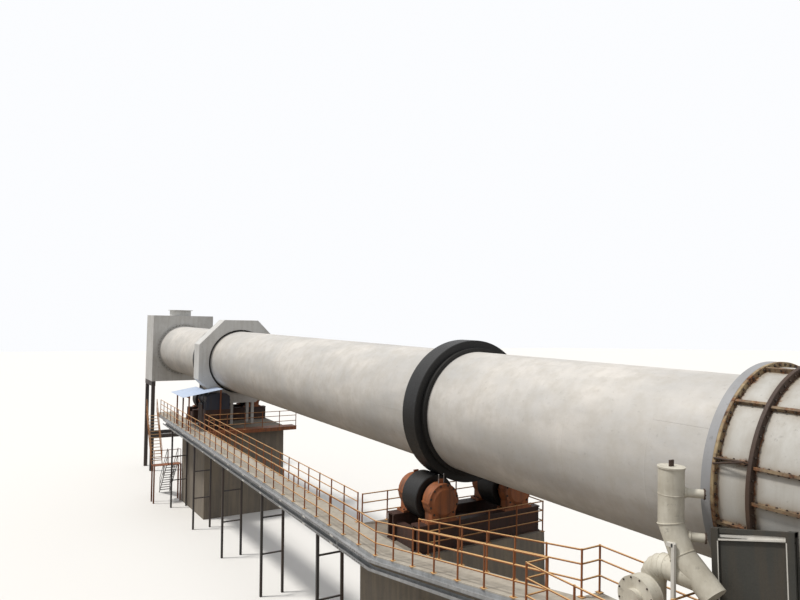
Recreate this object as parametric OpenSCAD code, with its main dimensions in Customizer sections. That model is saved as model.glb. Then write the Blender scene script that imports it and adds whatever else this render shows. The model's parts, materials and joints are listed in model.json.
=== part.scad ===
// Rotary kiln line at half size: a sloping shell on two tyres, turned by a girth gear,
// between a feed housing and a discharge hood, with its piers, walkway and stairs.
// The origin is on the ground in the middle of pier 1, below the first tyre.
// Kiln frame: u runs down the axis to the discharge end, y across, w square to the axis.
// The walkway side is the near side, at minus y.

/* [Kiln] */
// Height of the axis above the ground at the first tyre
axis_h = 4450; // [4300:10:4700]
// Fall of the axis for each unit of length
slope = 0.04; // [0.03:0.005:0.05]
// Outer radius of the shell
shell_r = 1015; // [1005:1:1022]
// Thickness of the shell plate
shell_plate = 14; // [10:1:18]
// Thickness of the brick lining
lining_t = 100; // [70:5:120]
// Place of the discharge end of the shell on the axis
discharge_u = 5650; // [5600:10:5750]
// Place of the feed end of the shell on the axis
feed_u = -21150; // [-21300:10:-21050]
// Inner radius of the dam at the feed end
dam_r = 640; // [500:10:750]
// Thickness of the rings that close the shell's ends
end_ring_t = 40; // [25:5:60]

/* [Tyres] */
// Place of the second tyre on the axis
tyre_2_u = -14050; // [-14150:10:-14050]
// Outer radius of a tyre
tyre_r = 1210; // [1190:1:1225]
// Width of a tyre
tyre_w = 375; // [340:5:390]
// Thickness of the pads between shell and tyre
pad_t = 25; // [16:1:30]
// Number of pads round the shell
pad_count = 24; // [16:2:30]

/* [Rollers] */
// Radius of a support roller
roller_r = 375; // [360:1:385]
// Width of a support roller
roller_w = 425; // [400:5:440]
// Angle of a support roller from straight down
roller_deg = 30; // [29:0.5:31]
// Radius of a roller's shaft
shaft_r = 90; // [70:1:110]
// Gap between a tyre and what rolls on it
rolling_gap = 0.3; // [0.3:0.1:1]
// Gap round a shaft in its bearing
shaft_gap = 0.3; // [0.2:0.1:0.8]
// Radius of a bearing housing
housing_r = 285; // [270:5:290]
// Length of a bearing housing along its shaft
housing_l = 200; // [190:5:210]
// Radius of the thrust roller
thrust_r = 220; // [200:5:235]

/* [Drive] */
// Place of the girth gear on the axis
gear_u = -12940; // [-12960:5:-12920]
// Gear module, the pitch diameter for each tooth
gear_module = 20; // [18:1:20]
// Teeth on the girth gear
gear_teeth = 120; // [116:2:120]
// Teeth on the pinion
pinion_teeth = 20; // [18:1:20]
// Face width of the girth gear
gear_face = 250; // [220:5:260]
// Angle of the pinion from straight down
pinion_deg = 30; // [30:0.5:32]
// Play between the teeth along the pitch circle
backlash = 1.6; // [1.2:0.1:2.4]
// Number of spring plates that carry the girth gear
spring_count = 12; // [8:1:14]
// Radius of the pinion shaft
pinion_shaft_r = 70; // [60:1:80]
// Side of the eight-sided gear guard, measured across its flats
guard_flats = 2800; // [2760:10:2840]
// Depth of the gear guard along the axis
guard_depth = 640; // [620:5:660]
// Thickness of guard and hood sheet
sheet_t = 8; // [6:1:12]

/* [Piers and platforms] */
// Depth of the pier tops and walkway below the axis
deck_drop = 2140; // [2120:5:2160]
// Height of the roller base frames
frame_h = 440; // [400:5:440]
// Half width of the piers
pier_half_w = 1325; // [1310:5:1335]
// Length of pier 1 along the kiln
pier_1_l = 1910; // [1860:10:1960]
// Length of pier 2 along the kiln
pier_2_l = 3000; // [2960:20:3100]
// Height of the handrails
rail_h = 525; // [480:5:560]
// Radius of the handrail tubes
rail_r = 11; // [8:1:14]
// Distance between handrail posts
post_pitch = 560; // [480:10:700]

/* [Walkway] */
// Distance of the walkway's inner edge from the axis
walk_in = 1350; // [1340:10:1400]
// Distance of the walkway's outer edge from the axis
walk_out = 1900; // [1850:10:1950]
// Place where the walkway starts at the stair
walk_head_u = -16450; // [-16500:10:-16400]
// Thickness of the walkway floor
floor_t = 16; // [10:1:24]
// Height of the walkway beams
beam_h = 120; // [100:5:140]
// Rise of the ramp beside pier 1
ramp_rise = 630; // [560:10:680]
// Place of the ramp's foot on the axis
ramp_foot_u = 200; // [150:10:250]
// Place of the ramp's head on the axis
ramp_head_u = 3900; // [3800:10:4000]
// Distance between the walkway trestles
trestle_pitch = 3000; // [2900:10:3020]
// Side of the trestle legs
leg_w = 50; // [40:2:60]

/* [Hood] */
// Place of the hood's first flange on the axis
hood_u = 5300; // [5280:5:5320]
// Length of the hood along the axis
hood_l = 2300; // [2250:10:2400]
// Outer radius of the hood barrel
hood_r = 1130; // [1120:2:1140]
// Radius of the burner port in the end plate
burner_r = 250; // [200:5:300]
// Width of the hood's bolted flanges
flange_h = 55; // [45:1:65]

/* [Cooling air] */
// Radius of the cooling-air duct
duct_r = 120; // [100:2:130]
// Place of the duct on the axis
duct_u = 5075; // [5050:5:5100]
// Distance of the duct from the axis
duct_y = 1450; // [1430:5:1470]
// Height of the duct's cap above the axis
duct_top = 200; // [150:5:240]

/* [Feed end] */
// Length of the feed housing along the axis
feed_l = 1500; // [1400:10:1600]
// Half width of the feed housing
feed_half_w = 1300; // [1250:10:1350]

/* [Hidden] */
$fn = 96;

shell_paint = "gainsboro";
steel_black = "dimgray";
orange = "chocolate";
rail_orange = "peru";
grey_paint = "lightgray";
concrete = "darkgray";
galvanised = "silver";
sheet_blue = "lightsteelblue";
brick = "rosybrown";

slope_deg = atan(slope);
run_gap = 6;
seat_gap = 0.3;
post_inset = 10;

tyre_in = shell_r + pad_t;
roller_axis_r = tyre_r + roller_r + rolling_gap;
roller_y = roller_axis_r * sin(roller_deg);
roller_drop = roller_axis_r * cos(roller_deg);
housing_u = roller_w / 2 + 60;
frame_top = deck_drop - frame_h;
frame_beam_b = housing_l + 20;

pitch_r = gear_module * gear_teeth / 2;
pinion_pitch_r = gear_module * pinion_teeth / 2;
centre_dist = pitch_r + pinion_pitch_r;
pinion_y = centre_dist * sin(pinion_deg);
pinion_drop = centre_dist * cos(pinion_deg);
pressure_deg = 20;
gear_in_r = pitch_r - 3.9 * gear_module;
spring_t = 12;
spring_w = 120;
guard_u = gear_u + guard_depth / 2;
guard_hole_r = shell_r + 60;
pinion_block_l = 150;

pier_1_u = -395;
pier_2_u = gear_u - 460;

// Height above the ground of the plane that lies drop below the axis, at x
function plane_z(x, drop) = axis_h - x * slope - drop / cos(slope_deg);
// Height above the ground of a point of the kiln frame
function world_z(u, w) = axis_h - u * sin(slope_deg) + w * cos(slope_deg);
// Distance along x of a point of the kiln frame
function world_x(u, w) = u * cos(slope_deg) + w * sin(slope_deg);

// Puts its children, drawn in the kiln frame, on the sloping axis
module on_axis() {
    translate([0, 0, axis_h]) rotate([0, slope_deg, 0]) children();
}

// Turns children that stand along z to lie along the axis from u
module along(u, y = 0, w = 0) {
    translate([u, y, w]) rotate([0, 90, 0]) children();
}

// Block between two corners
module block(a, b) {
    translate(a) cube(b - a);
}

// Ring round the axis from u, with an outer and an inner radius
module ring(u, length, outer, inner) {
    along(u) difference() {
        cylinder(h = length, r = outer);
        translate([0, 0, -1]) cylinder(h = length + 2, r = inner);
    }
}

module kiln_shell() {
    color(shell_paint) on_axis()
        ring(feed_u, discharge_u - feed_u, shell_r, shell_r - shell_plate);
}

module kiln_lining() {
    bore_r = shell_r - shell_plate - seat_gap;
    color(brick) on_axis()
        ring(feed_u, discharge_u - feed_u, bore_r, shell_r - shell_plate - lining_t);
}

// Cast ring that holds the last bricks at the hot end
module nose_ring() {
    lip_in = shell_r - shell_plate - lining_t;
    color(steel_black) on_axis()
        ring(discharge_u, end_ring_t, shell_r, lip_in);
}

// Dam that keeps the feed from running back out
module feed_dam() {
    color(steel_black) on_axis()
        ring(feed_u - end_ring_t, end_ring_t, shell_r, dam_r);
}

module tyre(u) {
    edge = 10;
    half = tyre_w / 2;
    color(steel_black) on_axis() along(u) rotate_extrude() polygon([
        [tyre_in, -half + edge], [tyre_in + edge, -half], [tyre_r - edge, -half],
        [tyre_r, -half + edge], [tyre_r, half - edge], [tyre_r - edge, half],
        [tyre_in + edge, half], [tyre_in, half - edge]]);
}

// Pads under a tyre, each with a stop block on both sides that keeps the tyre in place
module tyre_pads(u) {
    pad_l = tyre_w + 150;
    pad_b = 2 * PI * shell_r / pad_count * 0.62;
    pad_deg = pad_b / shell_r * 180 / PI;
    stop_h = 38;
    stop_l = 45;
    color(steel_black) on_axis() along(u)
        for (i = [0:pad_count - 1]) rotate([0, 0, (i + 0.5) * 360 / pad_count - pad_deg / 2])
            rotate_extrude(angle = pad_deg) union() {
                translate([shell_r + seat_gap, -pad_l / 2]) square([pad_t - 2 * seat_gap, pad_l]);
                for (side = [0, 1]) mirror([0, side])
                    translate([shell_r + 1, tyre_w / 2 + seat_gap]) square([pad_t + stop_h, stop_l]);
            }
}

// Points of one side of an involute tooth, from the root to the tip
function involute(base_r, from_r, to_r, steps) = [
    for (i = [0:steps])
        let (r = from_r + (to_r - from_r) * i / steps,
            a = r > base_r ? acos(base_r / r) : 0)
        [r, tan(a) * 180 / PI - a]];

// Outline of a spur gear with straight-sided steps along each involute flank
function gear_outline(teeth, play, steps) =
    let (pr = gear_module * teeth / 2,
        base_r = pr * cos(pressure_deg),
        root_r = pr - 1.25 * gear_module,
        tip_r = pr + gear_module,
        start_r = max(base_r, root_r + 0.2 * gear_module),
        pitch_turn = tan(pressure_deg) * 180 / PI - pressure_deg,
        half_deg = 90 / teeth - play / 4 / pr * 180 / PI + pitch_turn,
        flank = involute(base_r, start_r, tip_r, steps),
        root_half = half_deg - flank[0][1] + 0.1 * gear_module / root_r * 180 / PI)
    [for (k = [0:teeth - 1])
        let (mid = 360 * k / teeth)
        each concat(
            [[root_r * cos(mid - root_half), root_r * sin(mid - root_half)]],
            [for (q = flank) let (a = mid - half_deg + q[1]) [q[0] * cos(a), q[0] * sin(a)]],
            [for (i = [steps:-1:0]) let (q = flank[i], a = mid + half_deg - q[1])
                [q[0] * cos(a), q[0] * sin(a)]],
            [[root_r * cos(mid + root_half), root_r * sin(mid + root_half)]])];

// Gear ring with 120 teeth, in two halves that are bolted at a thickened joint
module girth_gear() {
    half = gear_face / 2;
    rib = 22;
    color(steel_black) on_axis() along(gear_u) difference() {
        translate([0, 0, -half]) linear_extrude(gear_face)
            polygon(gear_outline(gear_teeth, backlash, 2));
        translate([0, 0, -half - 1]) cylinder(h = gear_face + 2, r = gear_in_r);
        for (side = [0, 1]) mirror([0, 0, side]) translate([0, 0, rib])
            ring_pocket(gear_in_r - 1, pitch_r - 2.6 * gear_module, half);
    }
}

// Ring that is cut from a gear's side
module ring_pocket(inner, outer, depth) {
    difference() {
        cylinder(h = depth, r = outer);
        translate([0, 0, -1]) cylinder(h = depth + 2, r = inner);
    }
}

// Spring plates that lie flat on the shell and reach out to the gear's inner face
module gear_springs() {
    reach = sqrt(pow(gear_in_r - seat_gap, 2) - pow(shell_r + spring_t, 2));
    color(steel_black) on_axis() along(gear_u)
        for (i = [0:spring_count - 1]) rotate([0, 0, i * 360 / spring_count])
            translate([shell_r, 0, -spring_w / 2]) cube([spring_t, reach, spring_w]);
}

// Roller with dished sides on a stepped shaft, its middle at the origin and its axis along z
module support_roller() {
    half = roller_w / 2;
    hub_r = shaft_r * 1.9;
    rim = 95;
    dish = 45;
    edge = 12;
    shoulder_r = shaft_r + 25;
    shoulder = housing_u - run_gap;
    tail = housing_u + housing_l - 8;
    profile = [[0, -tail], [shaft_r, -tail], [shaft_r, -shoulder], [shoulder_r, -shoulder],
        [shoulder_r, -half], [hub_r, -half], [hub_r + 20, -half + dish],
        [roller_r - rim - 20, -half + dish], [roller_r - rim, -half],
        [roller_r - edge, -half], [roller_r, -half + edge]];
    rotate_extrude() polygon(concat(profile,
        [for (i = [len(profile) - 1:-1:0]) [profile[i][0], -profile[i][1]]]));
}

// One support roller of the station at u, on side 1 or -1
module station_roller(u, side) {
    color(steel_black) on_axis() along(u, side * roller_y, -roller_drop) support_roller();
}

// Bearing housings of a station, on both sides of both rollers
module bearings(u) {
    cap = 30;
    foot_half = 300;
    foot_t = 35;
    color(orange) on_axis()
        for (side = [-1, 1], end = [0, 1])
            translate([u, side * roller_y, -roller_drop]) mirror([end, 0, 0]) difference() {
                union() {
                    along(housing_u) cylinder(h = housing_l, r = housing_r);
                    along(housing_u + housing_l) cylinder(h = cap, r1 = housing_r * 0.86, r2 = housing_r * 0.7);
                    block([housing_u, -housing_r * 0.8, roller_drop - frame_top],
                        [housing_u + housing_l, housing_r * 0.8, 0]);
                    block([housing_u - 8, -foot_half, roller_drop - frame_top],
                        [housing_u + housing_l + 8, foot_half, roller_drop - frame_top + foot_t]);
                }
                along(housing_u - 10) cylinder(h = housing_l + 10, r = shaft_r + shaft_gap);
            }
}

// I-beam along y, its top at the origin
module cross_beam(length, height, flange, plate) {
    web = plate * 1.4;
    rotate([90, 0, 0]) linear_extrude(length, center = true) union() {
        translate([-flange / 2, -plate]) square([flange, plate]);
        translate([-flange / 2, -height]) square([flange, plate]);
        for (side = [-1, 1]) translate([side * flange * 0.32 - web / 2, -height + plate / 2])
            square([web, height - plate]);
    }
}

// Welded base frame: two cross beams under the bearings, tied along the kiln
module base_frame(u) {
    beam_l = 2560;
    plate = 24;
    tie_w = 130;
    tie_top = frame_top + 140;
    half = housing_u - 10;
    beam_mid = housing_u + housing_l / 2;
    color(orange) on_axis() translate([u, 0, 0]) union() {
        for (side = [-1, 1]) translate([side * beam_mid, 0, -frame_top])
            cross_beam(beam_l, frame_h, frame_beam_b, plate);
        for (y = [-beam_l / 2 + 60, -tie_w / 2, beam_l / 2 - 60 - tie_w])
            block([-half - 40, y, -deck_drop], [half + 40, y + tie_w, -tie_top]);
    }
}

// Concrete pier with a top that follows the slope of the kiln
module pier(u, length) {
    x_mid = world_x(u, -deck_drop);
    a = x_mid - length / 2;
    b = x_mid + length / 2;
    color(concrete) rotate([90, 0, 0]) linear_extrude(2 * pier_half_w, center = true)
        polygon([[a, 0], [b, 0], [b, plane_z(b, deck_drop + seat_gap)],
            [a, plane_z(a, deck_drop + seat_gap)]]);
}

// Roller that takes the downhill push of the second tyre, its axis square to the kiln's
thrust_u = tyre_2_u + tyre_w / 2 + thrust_r + rolling_gap;
thrust_w = -tyre_r + 40;
thrust_h = 110;
module thrust_roller() {
    spindle_r = 55;
    spindle_l = 260;
    color(steel_black) on_axis() translate([thrust_u, 0, thrust_w]) union() {
        translate([0, 0, -thrust_h / 2]) cylinder(h = thrust_h, r = thrust_r);
        translate([0, 0, -thrust_h / 2 - spindle_l]) cylinder(h = spindle_l, r = spindle_r);
    }
}

// Box that holds the thrust roller's spindle on the base frame
module thrust_bracket() {
    top = thrust_w - thrust_h / 2 - run_gap;
    spindle_r = 55;
    half = 110;
    bottom = -frame_top + seat_gap;
    color(orange) on_axis() difference() {
        union() {
            translate([thrust_u, 0, bottom]) cylinder(h = top - bottom, r = 90);
            block([thrust_u - half, -half, bottom], [thrust_u + half, half, bottom + 60]);
        }
        translate([thrust_u, 0, top - 262]) cylinder(h = 270, r = spindle_r + shaft_gap);
    }
}

// Pinion on its shaft, with the coupling half that the reducer drives
module pinion() {
    shaft_back = guard_depth / 2 + 10 + pinion_block_l - 8;
    shaft_front = reducer_u - gear_u + 60;
    coupling_r = 130;
    color(steel_black) on_axis() along(gear_u, -pinion_y, -pinion_drop) union() {
        rotate([0, 0, 180 - pinion_deg + 180 / pinion_teeth])
            translate([0, 0, -gear_face / 2 - 10]) linear_extrude(gear_face + 20)
                polygon(gear_outline(pinion_teeth, backlash, 5));
        translate([0, 0, -shaft_back]) cylinder(h = shaft_back + shaft_front, r = pinion_shaft_r);
        translate([0, 0, reducer_u - gear_u - 110]) cylinder(h = 90, r = coupling_r);
    }
}

// Split bearing blocks on both sides of the guard
module pinion_bearings() {
    block_r = pinion_shaft_r + 62;
    foot_half = 200;
    color(orange) on_axis() for (end = [0, 1])
        translate([gear_u, -pinion_y, -pinion_drop]) mirror([end, 0, 0]) difference() {
            union() {
                along(guard_depth / 2 + 10) cylinder(h = pinion_block_l, r = block_r);
                block([guard_depth / 2 + 10, -foot_half, -pinion_foot],
                    [guard_depth / 2 + 10 + pinion_block_l, foot_half, -pinion_foot + 50]);
                block([guard_depth / 2 + 25, -block_r, -pinion_foot],
                    [guard_depth / 2 - 5 + pinion_block_l, block_r, 0]);
            }
            along(guard_depth / 2) cylinder(h = end == 0 ? pinion_block_l + 11 : pinion_block_l + 4,
                r = pinion_shaft_r + shaft_gap);
        }
}

pinion_foot = 170;
reducer_u = gear_u + 620;
reducer_l = 340;
reducer_y = [-1290, -530];
reducer_top = 990;
motor_y = -1130;
motor_r = 160;
motor_l = 520;

// Welded stools that carry the pinion bearings, the reducer and the motor
module drive_base() {
    stool = pinion_drop + pinion_foot + seat_gap;
    back = gear_u - guard_depth / 2 - 10 - pinion_block_l;
    front = gear_u + guard_depth / 2 + 10;
    color(orange) on_axis() union() {
        block([back, -pinion_y - 210, -deck_drop], [back + pinion_block_l, -pinion_y + 210, -stool]);
        block([front, -pinion_y - 210, -deck_drop], [front + pinion_block_l, -pinion_y + 210, -stool]);
        block([reducer_u, reducer_y[0] - 20, -deck_drop],
            [reducer_u + reducer_l, reducer_y[1] + 20, -reducer_bottom - seat_gap]);
        block([reducer_u - 120 - motor_l, motor_y - motor_r, -deck_drop],
            [reducer_u - 140, motor_y + motor_r, -motor_foot - seat_gap]);
    }
}

reducer_bottom = 1500;
motor_foot = pinion_drop + motor_r + 20;

// Housing of the reducing gear, with a split flange and ribs
module reducer() {
    flange = 30;
    rib = 16;
    color(orange) on_axis() difference() {
        union() {
            block([reducer_u, reducer_y[0], -reducer_bottom],
                [reducer_u + reducer_l, reducer_y[1], -reducer_top - 90]);
            translate([reducer_u, 0, 0]) rotate([90, 0, 90]) linear_extrude(reducer_l) polygon([
                [reducer_y[0], -reducer_top - 90], [reducer_y[0] + 160, -reducer_top],
                [reducer_y[1] - 120, -reducer_top], [reducer_y[1], -reducer_top - 90]]);
            block([reducer_u - 0, reducer_y[0] - 20, -pinion_drop - flange / 2],
                [reducer_u + reducer_l, reducer_y[1] + 20, -pinion_drop + flange / 2]);
            for (u = [60, reducer_l - 60 - rib]) block([reducer_u + u, reducer_y[0] - 20, -reducer_bottom],
                [reducer_u + u + rib, reducer_y[1] + 20, -pinion_drop]);
        }
        along(reducer_u - 10, -pinion_y, -pinion_drop) cylinder(h = 80, r = pinion_shaft_r + shaft_gap);
    }
}

// Electric motor with cooling ribs, a terminal box and its shaft into the reducer
module motor() {
    rib_count = 20;
    back = reducer_u - 130 - motor_l;
    color(grey_paint) on_axis() union() {
        along(back, motor_y, -pinion_drop) {
            cylinder(h = motor_l - 10, r = motor_r - 22);
            cylinder(h = 70, r = motor_r);
            for (i = [0:rib_count - 1]) rotate([0, 0, (i + 0.5) * 360 / rib_count])
                translate([motor_r - 26, -4, 60]) cube([20, 8, motor_l - 130]);
            translate([0, 0, motor_l - 60]) cylinder(h = 60, r = motor_r);
            cylinder(h = motor_l + 129.7, r = 38);
            translate([0, 0, motor_l + 30]) cylinder(h = 80, r = 90);
        }
        block([back + 60, motor_y - motor_r + 10, -motor_foot],
            [back + motor_l - 80, motor_y + motor_r - 10, -pinion_drop - motor_r * 0.8]);
        block([back + 200, motor_y - 70, -pinion_drop + motor_r - 40],
            [back + 360, motor_y + 70, -pinion_drop + motor_r + 50]);
    }
}

// Eight corners of a flat-sided guard with the given distance across its flats
function octagon(flats) = [for (i = [0:7])
    let (r = flats / 2 / cos(22.5), a = 22.5 + i * 45) [r * cos(a), r * sin(a)]];

// Outline of the guard with its case round the pinion, drawn in y and w
module guard_outline(inset) {
    case_half = gear_module * (pinion_teeth / 2 + 1) + 45;
    case_low = pinion_drop + case_half;
    union() {
        polygon(octagon(guard_flats - 2 * inset));
        translate([-pinion_y - case_half + inset, -case_low + inset])
            square(2 * case_half - 2 * inset);
    }
}

// Sheet guard round the girth gear, closed on both sides up to the shell
module gear_guard() {
    leg_b = 90;
    low = guard_flats / 2;
    color(grey_paint) on_axis() union() {
        difference() {
            translate([guard_u - guard_depth, 0, 0]) rotate([90, 0, 90])
                linear_extrude(guard_depth) guard_outline(0);
            translate([guard_u - guard_depth + sheet_t, 0, 0]) rotate([90, 0, 90])
                linear_extrude(guard_depth - 2 * sheet_t) guard_outline(sheet_t);
            along(guard_u - guard_depth - 1) cylinder(h = guard_depth + 2, r = guard_hole_r);
            along(guard_u - guard_depth - 1, -pinion_y, -pinion_drop)
                cylinder(h = guard_depth + 2, r = pinion_shaft_r + 12);
        }
        for (u = [guard_u - leg_b, guard_u - guard_depth], y = [-300, 420])
            block([u, y, -deck_drop], [u + leg_b, y + leg_b, -low]);
    }
}

canopy_u = [-13600, -11895];
canopy_y = [-2050, -800];
canopy_w = [-1050, -830];
function canopy_at(y) = canopy_w[0] + (canopy_w[1] - canopy_w[0]) * (y - canopy_y[0]) / (canopy_y[1] - canopy_y[0]);

// Lean-to sheet roof over the drive, notched round the guard
module canopy_roof() {
    t = 12;
    notch_y = -1210;
    color(sheet_blue) on_axis() difference() {
        translate([canopy_u[0], 0, 0]) rotate([90, 0, 90]) linear_extrude(canopy_u[1] - canopy_u[0])
            polygon([[canopy_y[0], canopy_w[0]], [canopy_y[1], canopy_w[1]],
                [canopy_y[1], canopy_w[1] - t], [canopy_y[0], canopy_w[0] - t]]);
        block([canopy_u[0] - 1, notch_y, -1100], [guard_u + 20, canopy_y[1] + 1, -700]);
    }
}

// Posts and rails that carry the canopy
module canopy_posts() {
    post = 40;
    t = 12;
    eave_y = -walk_out + 40;
    rail_h_c = 50;
    color(orange) on_axis() union() {
        for (u = [canopy_u[0] + 30, (canopy_u[0] + canopy_u[1]) / 2, canopy_u[1] - 30 - post])
            block([u, eave_y, -deck_drop + floor_t], [u + post, eave_y + post, canopy_at(eave_y) - t - 10]);
        block([canopy_u[0] + 10, eave_y, canopy_at(eave_y) - t - 10 - rail_h_c],
            [canopy_u[1] - 10, eave_y + post, canopy_at(eave_y) - t - seat_gap]);
        block([canopy_u[1] - 30 - post, -860, -deck_drop],
            [canopy_u[1] - 30, -860 + post, canopy_at(-860) - t - seat_gap]);
    }
}

hood_ring_1 = [hood_u, hood_u + 32];
hood_ring_2 = [hood_u + 345, hood_u + 385];
hood_end_u = hood_u + hood_l;
throat_half = 690;
throat_u = [hood_u + 460, hood_end_u - 60];
throat_low = 2050;

// Seal between the turning shell and the hood, an angle ring with a sheet skirt
module hood_seal() {
    reach = 100;
    lip = 12;
    inner = shell_r + run_gap;
    color(grey_paint) on_axis() along(hood_u - reach) rotate_extrude() polygon([
        [inner, 0], [inner + lip, 0], [inner + lip, reach - lip], [hood_r - lip, reach - lip],
        [hood_r - lip, 20], [hood_r, 20], [hood_r, reach], [inner, reach]]);
}

// Bolted rings where the parts of the hood meet
module hood_flanges() {
    color(orange) on_axis() {
        ring(hood_ring_1[0], hood_ring_1[1] - hood_ring_1[0], hood_r + flange_h, shell_r + 45);
        ring(hood_ring_2[0], hood_ring_2[1] - hood_ring_2[0], hood_r + flange_h + 15, hood_r - 70);
    }
}

// Round body of the hood, open below into the throat
module hood_barrel() {
    color(grey_paint) on_axis() {
        ring(hood_ring_1[1], hood_ring_2[0] - hood_ring_1[1], hood_r, hood_r - sheet_t);
        difference() {
            ring(hood_ring_2[1], hood_end_u - hood_ring_2[1], hood_r, hood_r - sheet_t);
            block([throat_u[0] + sheet_t, -throat_half + sheet_t, -hood_r - 1],
                [throat_u[1] - sheet_t, throat_half - sheet_t, -400]);
        }
    }
}

// Bolted ribs along the hood, two plates with a gap of one gasket
module hood_ribs() {
    rib_h = 45;
    rib_t = 14;
    first = hood_ring_1[1];
    color(orange) on_axis() {
        for (deg = [0:30:330]) rotate([deg + 8, 0, 0])
            block([first, -rib_t, hood_r], [hood_ring_2[0], rib_t, hood_r + rib_h]);
        for (deg = [-80:20:80]) rotate([deg + 8, 0, 0])
            block([hood_ring_2[1], -rib_t, hood_r], [hood_end_u, rib_t, hood_r + rib_h]);
    }
}

// End plate with the burner port, its collar and two stiffening rings
module hood_end_plate() {
    plate = 20;
    collar = 120;
    color(grey_paint) on_axis() difference() {
        union() {
            along(hood_end_u) cylinder(h = plate, r = hood_r + flange_h);
            along(hood_end_u) cylinder(h = plate + collar, r = burner_r + 16);
            along(hood_end_u) cylinder(h = plate + collar, r1 = burner_r + 16, r2 = burner_r + 16);
            for (deg = [45:90:315]) rotate([deg, 0, 0])
                block([hood_end_u + plate - 1, -10, burner_r + 10], [hood_end_u + plate + 50, 10, hood_r]);
        }
        along(hood_end_u - 1) cylinder(h = plate + collar + 2, r = burner_r);
    }
}

// Square throat that drops the clinker out of the hood
module hood_throat() {
    color(grey_paint) on_axis() difference() {
        block([throat_u[0], -throat_half, -throat_low], [throat_u[1], throat_half, -500]);
        block([throat_u[0] + sheet_t, -throat_half + sheet_t, -throat_low - 1],
            [throat_u[1] - sheet_t, throat_half - sheet_t, -499]);
        along(throat_u[0] - 1) cylinder(h = throat_u[1] - throat_u[0] + 2, r = hood_r + seat_gap);
    }
}

// Steel frame under the hood, down to the ground
module hood_base() {
    beam_b = 120;
    beam_d = 140;
    tie_b = 70;
    post = beam_b - 2 * post_inset;
    top = 1700;
    half = 950;
    xs = [world_x(hood_ring_2[1], -top) + post_inset, world_x(hood_end_u, -top) - post - 2 * post_inset];
    color("dimgray") union() {
        for (x = xs, y = [-half, half - beam_b])
            post_under_plane(x, y + post_inset, post, top + beam_d / 2);
        on_axis() for (y = [-half, half - beam_b])
            block([hood_ring_2[1], y, -top - beam_d], [hood_end_u, y + beam_b, -top]);
        on_axis() for (u = [throat_u[0] - tie_b - seat_gap, throat_u[1] + seat_gap])
            block([u, -half + beam_b - post_inset, -top - beam_d + post_inset],
                [u + tie_b, half - beam_b + post_inset, -top - post_inset]);
    }
}

// Post from the ground up to the plane that lies drop below the axis
module post_under_plane(x, y, b, drop) {
    translate([0, y + b, 0]) rotate([90, 0, 0]) linear_extrude(b) polygon([
        [x, 0], [x + b, 0], [x + b, plane_z(x + b, drop)], [x, plane_z(x, drop)]]);
}

// Cooling-air duct with a capped top, two branches and a bend towards the hood base
module cooling_duct() {
    bends = 3;
    step_deg = 12;
    straight = 560;
    run = 620;
    cap = 14;
    branch_r = 40;
    color(grey_paint) on_axis() translate([duct_u, -duct_y, 0]) union() {
        translate([0, 0, duct_top - cap]) cylinder(h = cap, r = duct_r + 8);
        translate([-8, -30, duct_top]) cube([16, 60, 60]);
        translate([0, 0, duct_top - straight]) cylinder(h = straight - cap, r = duct_r);
        for (drop = [150, 430]) translate([0, 0, duct_top - drop])
            rotate([0, 90, 0]) {
                cylinder(h = 230, r = branch_r);
                translate([0, 0, 222]) cylinder(h = 14, r = branch_r + 22);
            }
        for (k = [0:bends - 1]) {
            p = duct_point(k, straight, bend_step, step_deg);
            q = duct_point(k + 1, straight, k == bends - 1 ? run : bend_step, step_deg);
            translate(p) sphere(r = duct_r + 1);
            bar(p, q, duct_r, 96);
        }
    }
}

// Corner k of the duct's centre line, which turns by one step at each corner
function duct_point(k, straight, last, step_deg) = k == 0 ? [0, 0, duct_top - straight] :
    duct_point(k - 1, straight, bend_step, step_deg) + last * [sin(k * step_deg), 0, -cos(k * step_deg)];
bend_step = 110;

fan_u = 4980;
fan_y = -1760;
fan_w = -1000;
fan_r = 200;

// Small fan with a round casing on a stand, blowing into the duct
module cooling_fan() {
    depth = 150;
    floor_w = -deck_drop + ramp_rise + floor_t;
    color(grey_paint) on_axis() union() {
        translate([fan_u, fan_y + depth / 2, fan_w]) rotate([90, 0, 0]) cylinder(h = depth, r = fan_r);
        translate([fan_u, fan_y - depth / 2, fan_w]) rotate([90, 0, 0]) cylinder(h = 60, r = fan_r * 0.45);
        block([fan_u - 120, fan_y - 60, floor_w], [fan_u + 120, fan_y + 60, fan_w - fan_r * 0.75]);
        block([fan_u - 60, fan_y + depth / 2 - 1, fan_w - 60], [fan_u + 60, -duct_y - duct_r + 25, fan_w + 60]);
    }
}

feed_front_u = feed_u + 250;
feed_back_u = feed_front_u - feed_l;
feed_low = 1400;
feed_high = 1500;
feed_plate = 12;
feed_inlet_r = 450;

// Box that the shell's feed end turns in, with a round inlet on top
module feed_housing() {
    neck = 260;
    mid = (feed_front_u + feed_back_u) / 2;
    bolt_count = 12;
    color(grey_paint) on_axis() difference() {
        union() {
            block([feed_back_u, -feed_half_w, -feed_low], [feed_front_u, feed_half_w, feed_high]);
            translate([mid, 0, feed_high]) cylinder(h = neck, r = feed_inlet_r + feed_plate);
            translate([mid, 0, feed_high + neck - 24]) cylinder(h = 24, r = feed_inlet_r + 90);
        }
        block([feed_back_u + feed_plate, -feed_half_w + feed_plate, -feed_low + feed_plate],
            [feed_front_u - feed_plate, feed_half_w - feed_plate, feed_high - feed_plate]);
        along(feed_front_u - feed_plate - 1) cylinder(h = feed_plate + 2, r = shell_r + 45);
        translate([mid, 0, feed_high - feed_plate - 1]) cylinder(h = neck + feed_plate + 2, r = feed_inlet_r);
        for (i = [0:bolt_count - 1]) translate([mid, 0, feed_high + neck - 30])
            rotate([0, 0, i * 360 / bolt_count]) translate([feed_inlet_r + 55, 0, 0]) cylinder(h = 40, r = 11);
    }
}

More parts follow.
